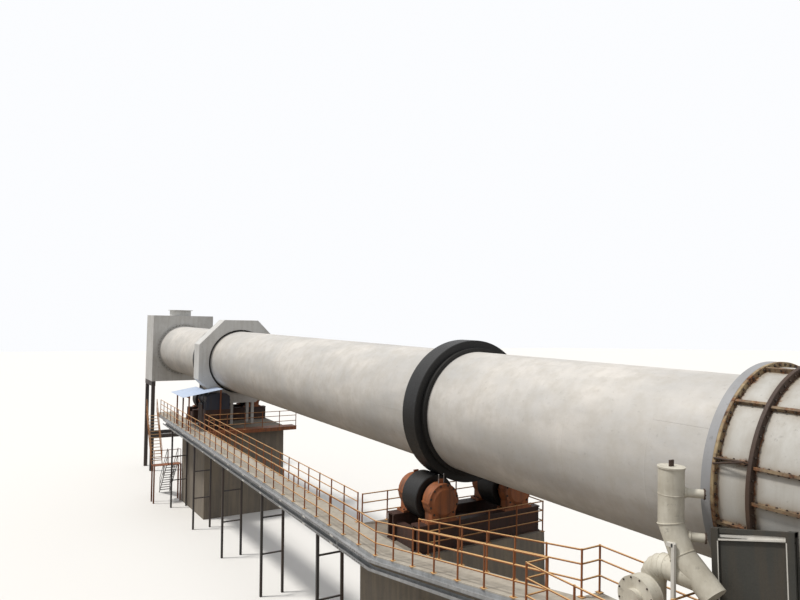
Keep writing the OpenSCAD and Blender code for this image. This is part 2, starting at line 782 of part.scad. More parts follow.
// Seal ring between the shell and the feed housing
module feed_seal() {
    lip = 12;
    reach = 90;
    inner = shell_r + run_gap;
    color(grey_paint) on_axis() along(feed_front_u + seat_gap) rotate_extrude() polygon([
        [inner, 0], [hood_r, 0], [hood_r, reach - 20], [hood_r - lip, reach - 20],
        [hood_r - lip, lip], [inner + lip, lip], [inner + lip, reach], [inner, reach]]);
}

// Steel legs and beams that carry the feed housing
module feed_support() {
    beam_b = 160;
    beam_d = 200;
    tie_d = 160;
    tie_z = 1400;
    post = beam_b - 2 * post_inset;
    drop = feed_low + beam_d;
    xs = [world_x(feed_back_u, -drop) + post_inset, world_x(feed_front_u, -drop) - post - post_inset];
    color("dimgray") union() {
        for (x = xs, y = [-feed_half_w, feed_half_w - beam_b])
            post_under_plane(x, y + post_inset, post, feed_low + beam_d / 2);
        on_axis() for (y = [-feed_half_w, feed_half_w - beam_b])
            block([feed_back_u, y, -drop], [feed_front_u, y + beam_b, -feed_low - seat_gap]);
        for (x = xs) translate([x + post_inset, -feed_half_w + post, tie_z])
            cube([post - 2 * post_inset, 2 * feed_half_w - 2 * post, tie_d]);
    }
}

ramp_w = -deck_drop + ramp_rise;
upper_start_u = ramp_head_u - 15;
upper_end_u = 5240;
upper_out = 2200;
upper_in = 1060;
ramp_deg = atan(ramp_rise / (ramp_head_u - ramp_foot_u));

// Outline of the walkway's side, from the stair head up the ramp, with the given thickness
function walk_profile(top, bottom) = [
    [walk_head_u, -deck_drop + top], [ramp_foot_u, -deck_drop + top], [ramp_head_u, ramp_w + top],
    [upper_end_u, ramp_w + top], [upper_end_u, ramp_w + bottom], [ramp_head_u, ramp_w + bottom],
    [ramp_foot_u, -deck_drop + bottom], [walk_head_u, -deck_drop + bottom]];

// Extrudes an outline drawn in u and w across the walkway
module across(from_y, to_y) {
    translate([0, from_y, 0]) rotate([90, 0, 0]) mirror([0, 0, 1])
        linear_extrude(to_y - from_y) children();
}

// Floor plates of the walkway, the ramp and the upper platform
module walkway_floor() {
    color(galvanised) on_axis() union() {
        across(-walk_out, -walk_in) polygon(walk_profile(floor_t, 0));
        difference() {
            block([upper_start_u, -upper_out, ramp_w], [upper_end_u, -upper_in, ramp_w + floor_t]);
            translate([duct_u, -duct_y, ramp_w - 1]) cylinder(h = floor_t + 2, r = duct_r + 15);
        }
    }
}

// Edge beams and cross pieces under the walkway
module walkway_beams() {
    web = 12;
    flange = 45;
    pitch = 1000;
    color(galvanised) on_axis() union() {
        for (y = [-walk_out, -walk_in - web]) across(y, y + web) polygon(walk_profile(0, -beam_h));
        for (y = [-walk_out, -walk_in - flange]) across(y, y + flange)
            polygon(walk_profile(-beam_h + web, -beam_h));
        for (u = [walk_head_u + 60:pitch:ramp_foot_u - 200])
            block([u, -walk_out + web, -deck_drop - beam_h + 30], [u + 40, -walk_in - web, -deck_drop]);
        for (y = [-upper_out, -upper_in - web])
            block([upper_start_u, y, ramp_w - beam_h], [upper_end_u, y + web, ramp_w]);
        for (u = [upper_start_u, upper_end_u - web]) {
            block([u, -upper_out + web, ramp_w - beam_h], [u + web, -walk_out, ramp_w]);
            block([u, -walk_in, ramp_w - beam_h], [u + web, -upper_in - web, ramp_w]);
        }
    }
}

trestle_us = [for (i = [0:4]) -14000 + i * trestle_pitch];

// Pairs of slender legs that carry the walkway, braced by level bars
module walkway_trestles() {
    drop = deck_drop + beam_h + seat_gap;
    bar_t = 30;
    color("dimgray") union() {
        for (u = trestle_us) {
            x = world_x(u, -drop);
            for (y = [-walk_out, -walk_in - leg_w]) post_under_plane(x, y, leg_w, drop);
            for (z = [900, 1700]) translate([x + 10, -walk_out + leg_w, z])
                cube([bar_t, walk_out - walk_in - 2 * leg_w, bar_t]);
        }
        for (u = [ramp_head_u + 40, upper_end_u - 40 - leg_w], y = [-upper_out, -upper_in - leg_w])
            post_under_plane(world_x(u, ramp_w - beam_h), y, leg_w, -ramp_w + beam_h);
    }
}

// Round bar from one point to another
module bar(p, q, r, sides = 6) {
    d = q - p;
    length = norm(d);
    translate(p) rotate([0, acos(d[2] / length), atan2(d[1], d[0])])
        cylinder(h = length, r = r, $fn = sides);
}

// Handrail along a path of floor points: three rails on posts
module handrail(path) {
    heights = [0.36, 0.7, 1];
    post_r = rail_r + 2;
    last = len(path) - 2;
    steep = [for (i = [0:last]) let (d = path[i + 1] - path[i]) abs(d[2]) / norm([d[0], d[1]])];
    for (i = [0:last]) {
        p = path[i];
        q = path[i + 1];
        spans = max(1, round(norm(q - p) / post_pitch));
        for (k = [0:spans]) {
            foot = p + (q - p) * k / spans;
            beside = k == 0 ? max(i - 1, 0) : k == spans ? min(i + 1, last) : i;
            lift = post_r * max(steep[i], steep[beside]);
            bar(foot + [0, 0, lift], foot + [0, 0, rail_h + rail_r + 1], post_r);
        }
        for (h = heights) bar(p + [0, 0, rail_h * h], q + [0, 0, rail_h * h], rail_r);
    }
}

outer_y = -walk_out + 15;
inner_y = -walk_in - 15;
deck_w = -deck_drop + floor_t;

// Handrail on the side away from the kiln, from the stair head to the upper platform
module handrail_outer() {
    top_w = ramp_w + floor_t;
    color(rail_orange) on_axis() handrail([
        [walk_head_u + 500, outer_y, deck_w], [ramp_foot_u, outer_y, deck_w],
        [ramp_head_u, outer_y, top_w], [ramp_head_u, -upper_out + 15, top_w],
        [upper_end_u - 15, -upper_out + 15, top_w], [upper_end_u - 15, -upper_in - 15, top_w]]);
}

// Handrail on the kiln side, open at both piers
module handrail_inner() {
    top_w = ramp_w + floor_t;
    color(rail_orange) on_axis() {
        handrail([[pier_2_edge + 40, inner_y, deck_w], [pier_1_back - 40, inner_y, deck_w]]);
        handrail([[ramp_foot_u + 420, inner_y, deck_w + 420 * ramp_rise / (ramp_head_u - ramp_foot_u)],
            [ramp_head_u, inner_y, top_w], [ramp_head_u, -upper_in - 15, top_w],
            [upper_end_u - 110, -upper_in - 15, top_w]]);
    }
}

pier_2_edge = pier_2_u + pier_2_l / 2;
pier_1_back = pier_1_u - pier_1_l / 2;
pier_1_edge = pier_1_u + pier_1_l / 2;

// Outline of a strip beside the walkway and its ramp, from a start on the level stretch
function ramp_strip(start, top, bottom) = [
    [start, -deck_drop + top], [ramp_foot_u, -deck_drop + top], [ramp_head_u - 20, ramp_w + top],
    [ramp_head_u - 20, ramp_w + bottom], [ramp_foot_u, -deck_drop + bottom], [start, -deck_drop + bottom]];

// Two cable trays that hang beside the walkway, with hangers on its outer beam
module cable_trays() {
    tray_w = 110;
    side = 40;
    t = 5;
    start = pier_2_u - pier_2_l / 2;
    y = -walk_out - tray_w - seat_gap;
    color(galvanised) on_axis() union() {
        for (drop = [20, 150]) {
            across(y, y + tray_w) polygon(ramp_strip(start, -drop - side, -drop - side - t));
            for (edge = [y, y + tray_w - t]) across(edge, edge + t)
                polygon(ramp_strip(start, -drop, -drop - side));
        }
        for (u = [start + 500:1500:ramp_foot_u])
            block([u, y - 6, -deck_drop - 150 - side], [u + 24, y, -deck_drop]);
    }
}

stair_drop = 1700;
stair_run = 1100;
stair_w = 380;
landing_l = 420;

// Flight of stairs between two heights: two strings with treads let in between them
module flight(x0, z0, x1, z1, y, width) {
    count = round(abs(z1 - z0) / 105);
    string_t = 10;
    string_h = 110;
    up = x1 > x0 ? 1 : -1;
    for (side = [y, y + width - string_t]) translate([0, side + string_t, 0]) rotate([90, 0, 0])
        linear_extrude(string_t) polygon([[x0, z0], [x0 + up * 90, z0], [x1 + up * 90, z1], [x1, z1]]);
    for (i = [1:count - 1]) {
        x = x0 + (x1 - x0) * i / count + up * 45;
        z = z0 + (z1 - z0) * i / count;
        translate([x - 55, y + string_t - 1, z - 4]) cube([110, width - 2 * string_t + 2, 8]);
    }
}

stair_top_z = world_z(walk_head_u, -deck_drop + floor_t);
stair_top_x = world_x(walk_head_u, -deck_drop);
landing_z = stair_top_z - stair_drop;
landing_x = stair_top_x + stair_run + 90;
stair_y = -walk_out - 15 - stair_w;

module stair_upper() {
    color(galvanised) {
        flight(stair_top_x + 0, stair_top_z, landing_x - 90, landing_z, stair_y, stair_w);
        stair_rails(stair_top_x, stair_top_z, landing_x - 90, landing_z, stair_y + 8);
        stair_rails(stair_top_x, stair_top_z, landing_x - 90, landing_z, stair_y + stair_w - 8);
    }
}

// Handrail along one string of a flight
module stair_rails(x0, z0, x1, z1, y) {
    h = rail_h * 0.95;
    for (k = [0:2]) {
        x = x0 + (x1 - x0) * k / 2;
        z = z0 + (z1 - z0) * k / 2;
        bar([x, y, z - 5], [x, y, z + h], rail_r);
    }
    for (f = [0.5, 1]) bar([x0, y, z0 + h * f], [x1, y, z1 + h * f], rail_r);
}

module stair_landing() {
    t = 12;
    leg = 45;
    color(rail_orange) union() {
        translate([landing_x, stair_y, landing_z - t]) cube([landing_l, -walk_in - stair_y, t]);
        for (x = [landing_x, landing_x + landing_l - leg], y = [stair_y, -walk_in - leg])
            translate([x, y, 0]) cube([leg, leg, landing_z - t]);
        translate([landing_x + landing_l - 12, stair_y + 12, landing_z]) {
            for (y = [0, 480, 900]) bar([0, y, -5], [0, y, rail_h], rail_r);
            for (f = [0.5, 1]) bar([0, 0, rail_h * f], [0, 900, rail_h * f], rail_r);
        }
    }
}

module stair_lower() {
    y = -walk_in - stair_w - 20;
    color(galvanised) {
        flight(landing_x - seat_gap, landing_z, landing_x - 1250, 0, y, stair_w);
        stair_rails(landing_x - 45, landing_z, landing_x - 1250, 40, y + 8);
        stair_rails(landing_x - 45, landing_z, landing_x - 1250, 40, y + stair_w - 8);
    }
}

// Steel platform on brackets in front of pier 2
module platform_2() {
    reach = 400;
    beam = 100;
    from = pier_2_edge_u + 6;
    color(orange) on_axis() union() {
        block([from, -walk_in + 10, -deck_drop], [from + reach, pier_half_w + 300, -deck_drop + floor_t]);
        for (y = [-walk_in + 10, -450, 450, pier_half_w - 60])
            block([from, y, -deck_drop - beam], [from + reach, y + 50, -deck_drop]);
        block([from + reach - 20, -walk_in + 10, -deck_drop - beam],
            [from + reach, pier_half_w + 300, -deck_drop]);
    }
}
pier_2_edge_u = (world_x(pier_2_u, -deck_drop) + pier_2_l / 2 + deck_drop * sin(slope_deg)) / cos(slope_deg);

// Handrails on the edges of both stations
module platform_rails() {
    color(rail_orange) on_axis() {
        handrail([[pier_1_edge - 20, -1130, -deck_drop], [pier_1_edge - 20, pier_half_w - 20, -deck_drop],
            [pier_1_back + 30, pier_half_w - 20, -deck_drop], [pier_1_back + 30, -walk_in + 40, -deck_drop]]);
        handrail([[pier_2_edge_u + 390, -walk_in + 30, deck_w],
            [pier_2_edge_u + 390, pier_half_w + 280, deck_w]]);
    }
}

kiln_shell();
kiln_lining();
nose_ring();
feed_dam();
tyre(0);  // tyre_1
tyre(tyre_2_u);  // tyre_2
tyre_pads(0);  // tyre_pads_1
tyre_pads(tyre_2_u);  // tyre_pads_2
girth_gear();
gear_springs();
station_roller(0, -1);  // roller_1_near
station_roller(0, 1);  // roller_1_far
station_roller(tyre_2_u, -1);  // roller_2_near
station_roller(tyre_2_u, 1);  // roller_2_far
thrust_roller();
pinion();
bearings(0);  // bearings_1
bearings(tyre_2_u);  // bearings_2
base_frame(0);  // base_frame_1
base_frame(tyre_2_u);  // base_frame_2
pier(pier_1_u, pier_1_l);  // pier_1
pier(pier_2_u, pier_2_l);  // pier_2
thrust_bracket();
pinion_bearings();
drive_base();
reducer();
motor();
gear_guard();
canopy_roof();
canopy_posts();
hood_seal();
hood_flanges();
hood_barrel();
hood_ribs();
hood_end_plate();
hood_throat();
hood_base();
cooling_duct();
cooling_fan();
feed_housing();
feed_seal();
feed_support();
walkway_floor();
walkway_beams();
walkway_trestles();
handrail_outer();
handrail_inner();
cable_trays();
stair_upper();
stair_landing();
stair_lower();
platform_2();
platform_rails();
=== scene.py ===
# %% [markdown]
# # A rotary kiln at half size
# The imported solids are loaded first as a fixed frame. Every piece that is made here is placed
# from them, so that nothing has to be fitted by hand. The kiln lies on a slope, so most pieces
# are drawn in its own directions: u down the axis, y across, and w square to the axis.

# %% Load the frame
import json
import math

import bpy
import numpy as np
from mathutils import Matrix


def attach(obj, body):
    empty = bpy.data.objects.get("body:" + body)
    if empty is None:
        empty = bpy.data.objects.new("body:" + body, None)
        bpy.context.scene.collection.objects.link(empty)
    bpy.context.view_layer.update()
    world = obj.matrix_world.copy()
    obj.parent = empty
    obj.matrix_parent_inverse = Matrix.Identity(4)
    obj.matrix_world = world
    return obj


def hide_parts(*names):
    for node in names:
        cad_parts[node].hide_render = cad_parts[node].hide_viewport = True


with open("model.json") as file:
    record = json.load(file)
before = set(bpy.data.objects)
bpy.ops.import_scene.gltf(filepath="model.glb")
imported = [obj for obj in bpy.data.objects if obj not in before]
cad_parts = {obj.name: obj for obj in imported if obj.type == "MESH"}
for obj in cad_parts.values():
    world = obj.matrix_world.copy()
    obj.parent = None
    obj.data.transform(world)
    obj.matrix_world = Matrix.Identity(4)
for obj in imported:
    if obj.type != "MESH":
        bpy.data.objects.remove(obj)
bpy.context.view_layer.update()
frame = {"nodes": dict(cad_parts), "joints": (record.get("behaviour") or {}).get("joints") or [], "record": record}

# %% The kiln's own directions
spin = next(j for j in frame["joints"] if j["name"] == "kiln_spin")
AXIS = np.array(spin["axis"], float) / np.linalg.norm(spin["axis"])
ON_AXIS = np.array(spin["pos_m"], float)
ACROSS = np.array([0.0, 1.0, 0.0])
SQUARE = np.cross(AXIS, ACROSS)
KILN = np.array([AXIS, ACROSS, SQUARE])


def to_world(points):
    """World place of u, y, w: the axis point plus each number times its direction."""
    return ON_AXIS + np.asarray(points, float) @ KILN


def to_kiln(points):
    """u, y, w of world points: the distances from the axis point along the three directions."""
    return (np.asarray(points, float) - ON_AXIS) @ KILN.T


def round_axis(u, t, r):
    """u, y, w at angle t from the top and distance r from the axis: y is -r sin t, w is r cos t."""
    return np.stack(np.broadcast_arrays(u, -r * np.sin(t), r * np.cos(t)), axis=-1)


def full_turn(count, start=0.0):
    """Angles of count even steps round one turn, in radians, the first of them start steps on."""
    return 2 * math.pi * (np.arange(count) + start) / count


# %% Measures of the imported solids


def corners(node):
    """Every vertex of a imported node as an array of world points."""
    mesh = frame["nodes"][node].data
    flat = np.empty(len(mesh.vertices) * 3, np.float32)
    mesh.vertices.foreach_get("co", flat)
    return flat.reshape(-1, 3).astype(float)


def kiln_box(node):
    """Lowest and highest u, y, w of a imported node."""
    points = to_kiln(corners(node))
    return points.min(0), points.max(0)


def radii(node):
    """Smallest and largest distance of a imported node's vertices from the kiln's axis."""
    r = np.linalg.norm(to_kiln(corners(node))[:, 1:], axis=1)
    return r.min(), r.max()


SHELL_LOW, SHELL_HIGH = kiln_box("kiln_shell")
SHELL_IN_R, SHELL_R = radii("kiln_shell")
slope_deg = math.degrees(math.asin(-AXIS[2]))
print("slope", round(slope_deg, 2), "deg, shell radius", round(SHELL_R, 4))

# %% [markdown]
# ## Two ways to make a surface
# A real maker rolls a plate or sweeps a profile. Both are a grid here: rows of points carried
# round an axis or along a path, worked out as one array. Bolts, bars and ribs are one small
# solid that is repeated by adding each copy's place to the same corner points. Modifiers could
# do both as well, but arrays say in one line where each point goes.

# %% Put arrays into a mesh


def put_mesh(name, points, faces, material, body, slot, smooth_deg=None):
    """Makes an object from world points and faces, and hangs it on a body of the kiln."""
    mesh = bpy.data.meshes.new(name)
    mesh.from_pydata(np.asarray(points, float).tolist(), [], [list(f) for f in faces])
    mesh.materials.append(material)
    piece = bpy.data.objects.new(name, mesh)
    bpy.context.scene.collection.objects.link(piece)
    if smooth_deg is not None:
        mesh.polygons.foreach_set("use_smooth", np.ones(len(mesh.polygons), bool))
        mesh.set_sharp_from_angle(angle=math.radians(smooth_deg))
    mesh.update()
    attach(piece, body)
    print(name, len(mesh.polygons), "faces on", body)
    return piece


def together(parts):
    """Several (points, faces) as one mesh: face numbers move up by the points before them."""
    shift = np.cumsum([0] + [len(points) for points, _ in parts[:-1]])
    faces = [tuple(int(i) + k for i in f) for (_, part), k in zip(parts, shift) for f in part]
    return np.concatenate([points for points, _ in parts]), faces


# %% Surfaces on a grid


def grid_faces(rows, cols, close_rows=False, close_cols=False):
    """Four-sided faces of a grid: each joins a point to the next ones in its row and column."""
    r = np.arange(rows if close_rows else rows - 1)[:, None]
    c = np.arange(cols if close_cols else cols - 1)[None, :]
    down, right = (r + 1) % rows, (c + 1) % cols
    quads = [r * cols + c, r * cols + right, down * cols + right, down * cols + c]
    return np.stack([q.ravel() for q in quads], axis=1)


def capped_faces(rings, sides):
    """Faces of a stack of closed rings of points, with one flat face on each end."""
    last = sides * (rings - 1)
    ends = [tuple(reversed(range(sides))), tuple(range(last, last + sides))]
    return [tuple(f) for f in grid_faces(rings, sides, close_cols=True)] + ends


def turned(profile, count):
    """Carries a profile of (u, r) pairs once round the axis, in count even steps of the angle."""
    profile = np.asarray(profile, float)
    return to_world(round_axis(profile[:, :1], full_turn(count), profile[:, 1:]).reshape(-1, 3))


# %% One solid, repeated
BOX_FACES = [(0, 3, 2, 1), (4, 5, 6, 7), (0, 1, 5, 4), (1, 2, 6, 5), (2, 3, 7, 6), (3, 0, 4, 7)]
BOX_STEPS = [(i, j, k) for k in (0, 1) for i, j in ((0, 0), (1, 0), (1, 1), (0, 1))]


def box_corners(low, high):
    """Eight corners of a block: each takes low or high in each direction, as BOX_STEPS says."""
    return np.where(BOX_STEPS, high, low)


def prism(sides, radius, height, chamfer=0.0):
    """Upright prism along its third direction, with an optional sloped edge round its top."""
    t = full_turn(sides)
    ring = np.column_stack([np.cos(t), np.sin(t)])
    levels = [(radius, 0.0), (radius, height - chamfer)]
    if chamfer:
        levels.append((radius - chamfer, height))
    points = [np.column_stack([ring * r, np.full(sides, h)]) for r, h in levels]
    return np.concatenate(points), capped_faces(len(levels), sides)


def repeated(faces, size, count):
    """Faces of count copies of a solid with size corners: copy n counts on from n times size."""
    return [tuple(i + n * size for i in f) for n in range(count) for f in faces]


def copies(shape, faces, turns, places):
    """Repeats one solid: a copy's points are its place plus the corners times its directions."""
    places = np.asarray(places, float)
    turns = np.broadcast_to(turns, (len(places), 3, 3))
    points = places[:, None, :] + np.einsum("pi,nij->npj", shape, turns)
    return points.reshape(-1, 3), repeated(faces, len(shape), len(places))


def blocks_at(size, places):
    """A block of one size at each place, given as u, y, w of its middle."""
    half = np.array(size) / 2
    return copies(box_corners(-half, half), BOX_FACES, KILN, to_world(places))


def facing(normals, along):
    """Directions for copies: the third is the normal, the first is square to it and to along."""
    third = normals / np.linalg.norm(normals, axis=1, keepdims=True)
    first = np.cross(np.broadcast_to(along, third.shape), third)
    first /= np.linalg.norm(first, axis=1, keepdims=True)
    return np.stack([first, np.cross(third, first), third], axis=1)


print("a block has", len(BOX_FACES), "faces and a six-sided prism", len(prism(6, 1.0, 1.0)[1]))

# %% [markdown]
# ## Node groups that several finishes share
# Outdoor steel shows the same few effects again and again: broad patches where rain and dust
# have lain, streaks that run down, fine grain, and rust that starts in spots. Each effect is one
# group with named outputs, so every paint can use it with its own strength.

# %% A short way to write nodes


def add_node(tree, kind, inputs=None, **settings):
    """Adds a node, sets its options, and plugs sockets or numbers into its inputs."""
    node = tree.nodes.new(kind)
    for option, value in settings.items():
        setattr(node, option, value)
    for key, value in (inputs or {}).items():
        if isinstance(value, bpy.types.NodeSocket):
            tree.links.new(value, node.inputs[key])
        else:
            node.inputs[key].default_value = value
    return node


def new_group(name, inputs, outputs):
    """An empty shader group with the named sockets, and the two nodes that hold them."""
    group = bpy.data.node_groups.new(name, "ShaderNodeTree")
    for socket, kind in inputs.items():
        group.interface.new_socket(socket, in_out="INPUT", socket_type=kind)
    for socket, kind in outputs.items():
        group.interface.new_socket(socket, in_out="OUTPUT", socket_type=kind)
    return group, group.nodes.new("NodeGroupInput"), group.nodes.new("NodeGroupOutput")


def noise(tree, place, scale, detail, roughness):
    """Factor output of a noise texture."""
    inputs = {"Vector": place, "Scale": scale, "Detail": detail, "Roughness": roughness}
    return add_node(tree, "ShaderNodeTexNoise", inputs).outputs["Fac"]


def spread(tree, value, low, high, to_low=0.0, to_high=1.0):
    """Stretches a value so that low becomes to_low and high becomes to_high, and clamps it."""
    inputs = {0: value, 1: low, 2: high, 3: to_low, 4: to_high}
    return add_node(tree, "ShaderNodeMapRange", inputs).outputs[0]


def maths(tree, operation, a, b):
    """Result of a math node with two values."""
    return add_node(tree, "ShaderNodeMath", {0: a, 1: b}, operation=operation).outputs[0]


def mixed(tree, factor, a, b):
    """Colour between a and b by a factor. A Mix node has its colours on the sockets 6 and 7."""
    colours = {key: (*c, 1.0) if isinstance(c, tuple) else c for key, c in ((6, a), (7, b))}
    return add_node(tree, "ShaderNodeMix", {0: factor, **colours}, data_type="RGBA").outputs[2]


# %% Weathering group
STREAK_STRETCH = (6.0, 6.0, 0.55)
BROAD_STRETCH = (0.30, 1.0, 1.0)

# Each pattern has a stretch, a noise's scale, detail and roughness, and the span spread to 0 to 1.
PATTERNS = {
    "Patches": (None, 0.9, 6, 0.62, (0.36, 0.64)),
    "Broad": (BROAD_STRETCH, 1.3, 5, 0.55, (0.40, 0.66)),
    "Streaks": (STREAK_STRETCH, 1.4, 5, 0.6, (0.42, 0.68)),
    "Mottle": (None, 4.5, 6, 0.66, (0.42, 0.66)),
    "Specks": (None, 15.0, 3, 0.7, (0.62, 0.72)),
    "Grain": (None, 38.0, 4, 0.65, None),
}

weathering, worn_in, worn_out = new_group(
    "weathering", {"Vector": "NodeSocketVector"}, dict.fromkeys(PATTERNS, "NodeSocketFloat"))
for pattern, (stretch, scale, detail, roughness, span) in PATTERNS.items():
    place = worn_in.outputs["Vector"]
    if stretch:
        mapping = {"Vector": place, "Scale": stretch}
        place = add_node(weathering, "ShaderNodeMapping", mapping).outputs[0]
    value = noise(weathering, place, scale, detail, roughness)
    if span:
        value = spread(weathering, value, *span)
    weathering.links.new(value, worn_out.inputs[pattern])

# %% Rust group
RUST_DARK, RUST_MID, RUST_PALE = (0.045, 0.022, 0.013), (0.20, 0.085, 0.035), (0.42, 0.25, 0.11)
RUST_SPOTS, RUST_TONES = (9.0, 7, 0.68), (22.0, 5, 0.6)
RUST_STARTS, RUST_COVERS = 0.98, 1.14
DARK_TO_MID, MID_TO_PALE = (0.38, 0.55), (0.55, 0.75)

rusting, rust_in, rust_out = new_group(
    "rusting", {"Vector": "NodeSocketVector", "Amount": "NodeSocketFloat"},
    {"Mask": "NodeSocketFloat", "Colour": "NodeSocketColor"})
place = rust_in.outputs["Vector"]
reached = maths(rusting, "ADD", noise(rusting, place, *RUST_SPOTS), rust_in.outputs["Amount"])
rusting.links.new(spread(rusting, reached, RUST_STARTS, RUST_COVERS), rust_out.inputs["Mask"])
tone = noise(rusting, place, *RUST_TONES)
rust_colour = mixed(rusting, spread(rusting, tone, *DARK_TO_MID), RUST_DARK, RUST_MID)
rust_colour = mixed(rusting, spread(rusting, tone, *MID_TO_PALE), rust_colour, RUST_PALE)
rusting.links.new(rust_colour, rust_out.inputs["Colour"])
print("groups", [g.name for g in bpy.data.node_groups])

# %% [markdown]
# ## Finishes
# Every finish starts from the same recipe: a paint or metal colour, then thin layers of other
# colours over it, each where its pattern is strong, then rust, and a small bump from the grain.
# A dictionary gives each finish its own numbers, which is easier to compare than two dozen
# separate node trees.

# %% Places in the kiln's own directions, inside a material
UNDERSIDE_STARTS, UNDERSIDE_FULL, UNDERSIDE_RAGGED = 0.30, 1.15, 0.20


def object_place(tree):
    """Object coordinates, which stay on the piece while it turns."""
    return tree.nodes.new("ShaderNodeTexCoord").outputs["Object"]


def from_axis(tree, direction):
    """Distance of a point from the axis point along one direction."""
    inputs = {0: object_place(tree), 1: tuple(ON_AXIS)}
    offset = add_node(tree, "ShaderNodeVectorMath", inputs, operation="SUBTRACT").outputs[0]
    inputs = {0: offset, 1: tuple(direction)}
    return add_node(tree, "ShaderNodeVectorMath", inputs, operation="DOT_PRODUCT").outputs["Value"]


def underside_shade(tree, streaks):
    """Mask of painted shade with some stain: 0 at mid height of the shell, near 1 along its lowest line, with a
    ragged edge of streaks.
    """
    depth = maths(tree, "MULTIPLY", from_axis(tree, SQUARE), -1.0 / SHELL_R)
    ragged = maths(tree, "ADD", depth, maths(tree, "MULTIPLY", streaks, UNDERSIDE_RAGGED))
    return spread(tree, ragged, UNDERSIDE_STARTS, UNDERSIDE_FULL)


# %% The recipe for weathered metal
# Painted shade, with some brown stain, along the shell's underside.
UNDERSIDE_SHADE_BROWN = (0.17, 0.135, 0.095)
# Paler yellow on faces that point up: painted sunlight with some dust.
TOP_LIGHT_YELLOW = (0.74, 0.48, 0.21)
EDGE_STAIN = (0.24, 0.18, 0.11)
SPECK_DARK = (0.05, 0.045, 0.04)
PATCH_BY = 0.6
STAIN_BY, STAIN_BASE, STAIN_FULL = 0.85, 0.9, 0.75
STREAKS_RUST = 0.12
TOP_FACING_SLOPES = (0.2, 0.9)
DULL_SPAN = (0.3, 1.0)
RELIEF_STRENGTH = 0.6


def weathered(name, colour, patch, streak, rust, rough, metallic=0.0, streak_by=0.5, speck_by=0.3,
              mottle_by=0.0, broad=None, broad_by=0.0, low_shade_and_stain=0.0, top_light_and_dust=0.0, rust_map=None,
              bump=0.002):
    """Paint or metal: each layer mixes its colour in by its pattern times its share, then rust."""
    material = bpy.data.materials.new(name)
    material.use_nodes = True
    tree = material.node_tree
    shader = tree.nodes["Principled BSDF"]
    shader.inputs["Metallic"].default_value = metallic
    place = object_place(tree)
    worn = add_node(tree, "ShaderNodeGroup", {"Vector": place}, node_tree=weathering).outputs
    amount = maths(tree, "ADD", maths(tree, "MULTIPLY", worn["Streaks"], STREAKS_RUST), rust)
    layers = [(worn["Patches"], PATCH_BY, patch)]
    if broad:
        layers.append((worn["Broad"], broad_by, broad))
    if mottle_by:
        layers.append((worn["Mottle"], mottle_by, streak))
    layers += [(worn["Streaks"], streak_by, streak), (worn["Specks"], speck_by, SPECK_DARK)]
    if rust_map:
        near_edge = add_node(tree, "ShaderNodeAttribute", attribute_name=rust_map).outputs["Fac"]
        amount = maths(tree, "ADD", amount, near_edge)
        uneven = maths(tree, "ADD", worn["Patches"], STAIN_BASE)
        stained = maths(tree, "MULTIPLY", near_edge, uneven)
        layers.append((spread(tree, stained, 0.0, STAIN_FULL), STAIN_BY, EDGE_STAIN))
    # Painted shade, with some brown stain, darkens the shell towards its lowest line.
    if low_shade_and_stain:
        layers.append((underside_shade(tree, worn["Streaks"]), low_shade_and_stain, UNDERSIDE_SHADE_BROWN))
    # Painted sunlight with some dust: faces that point up turn a paler yellow.
    if top_light_and_dust:
        normal = tree.nodes.new("ShaderNodeTexCoord").outputs["Normal"]
        upward = add_node(tree, "ShaderNodeSeparateXYZ", {0: normal}).outputs[2]
        layers.append((spread(tree, upward, *TOP_FACING_SLOPES), top_light_and_dust, TOP_LIGHT_YELLOW))
    skin = colour
    for pattern, share, over in layers:
        skin = mixed(tree, maths(tree, "MULTIPLY", pattern, share), skin, over)
    inputs = {"Vector": place, "Amount": amount}
    rusted = add_node(tree, "ShaderNodeGroup", inputs, node_tree=rusting).outputs
    skin = mixed(tree, rusted["Mask"], skin, rusted["Colour"])
    tree.links.new(skin, shader.inputs["Base Color"])
    dull = maths(tree, "MAXIMUM", worn["Grain"], rusted["Mask"])
    tree.links.new(spread(tree, dull, *DULL_SPAN, *rough), shader.inputs["Roughness"])
    height = maths(tree, "ADD", worn["Grain"], rusted["Mask"])
    inputs = {"Height": height, "Distance": bump, "Strength": RELIEF_STRENGTH}
    tree.links.new(add_node(tree, "ShaderNodeBump", inputs).outputs[0], shader.inputs["Normal"])
    return material


# %% Rings of brick
BRICK_ROUND, BRICK_ALONG, MORTAR = 0.10, 0.20, 0.0025
BRICK_ROUGHNESS, JOINT_DEPTH = 0.9, 0.003


def bricked(name, low, high, joint):
    """Brick in rings: a brick texture over the length along the axis and the arc round it."""
    material = bpy.data.materials.new(name)
    material.use_nodes = True
    tree = material.node_tree
    shader = tree.nodes["Principled BSDF"]
    shader.inputs["Roughness"].default_value = BRICK_ROUGHNESS
    u, y, w = (from_axis(tree, direction) for direction in KILN)
    arc = maths(tree, "MULTIPLY", maths(tree, "ARCTAN2", y, w), SHELL_R)
    laid = add_node(tree, "ShaderNodeCombineXYZ", {0: u, 1: arc, 2: 0.0}).outputs[0]
    wall = add_node(tree, "ShaderNodeTexBrick", {
        "Vector": laid, "Color1": (*low, 1.0), "Color2": (*high, 1.0), "Mortar": (*joint, 1.0),
        "Scale": 1.0, "Mortar Size": MORTAR, "Brick Width": BRICK_ALONG, "Row Height": BRICK_ROUND,
    }).outputs
    tree.links.new(wall["Color"], shader.inputs["Base Color"])
    relief = add_node(tree, "ShaderNodeBump", {"Height": wall["Fac"], "Distance": -JOINT_DEPTH})
    tree.links.new(relief.outputs[0], shader.inputs["Normal"])
    return material


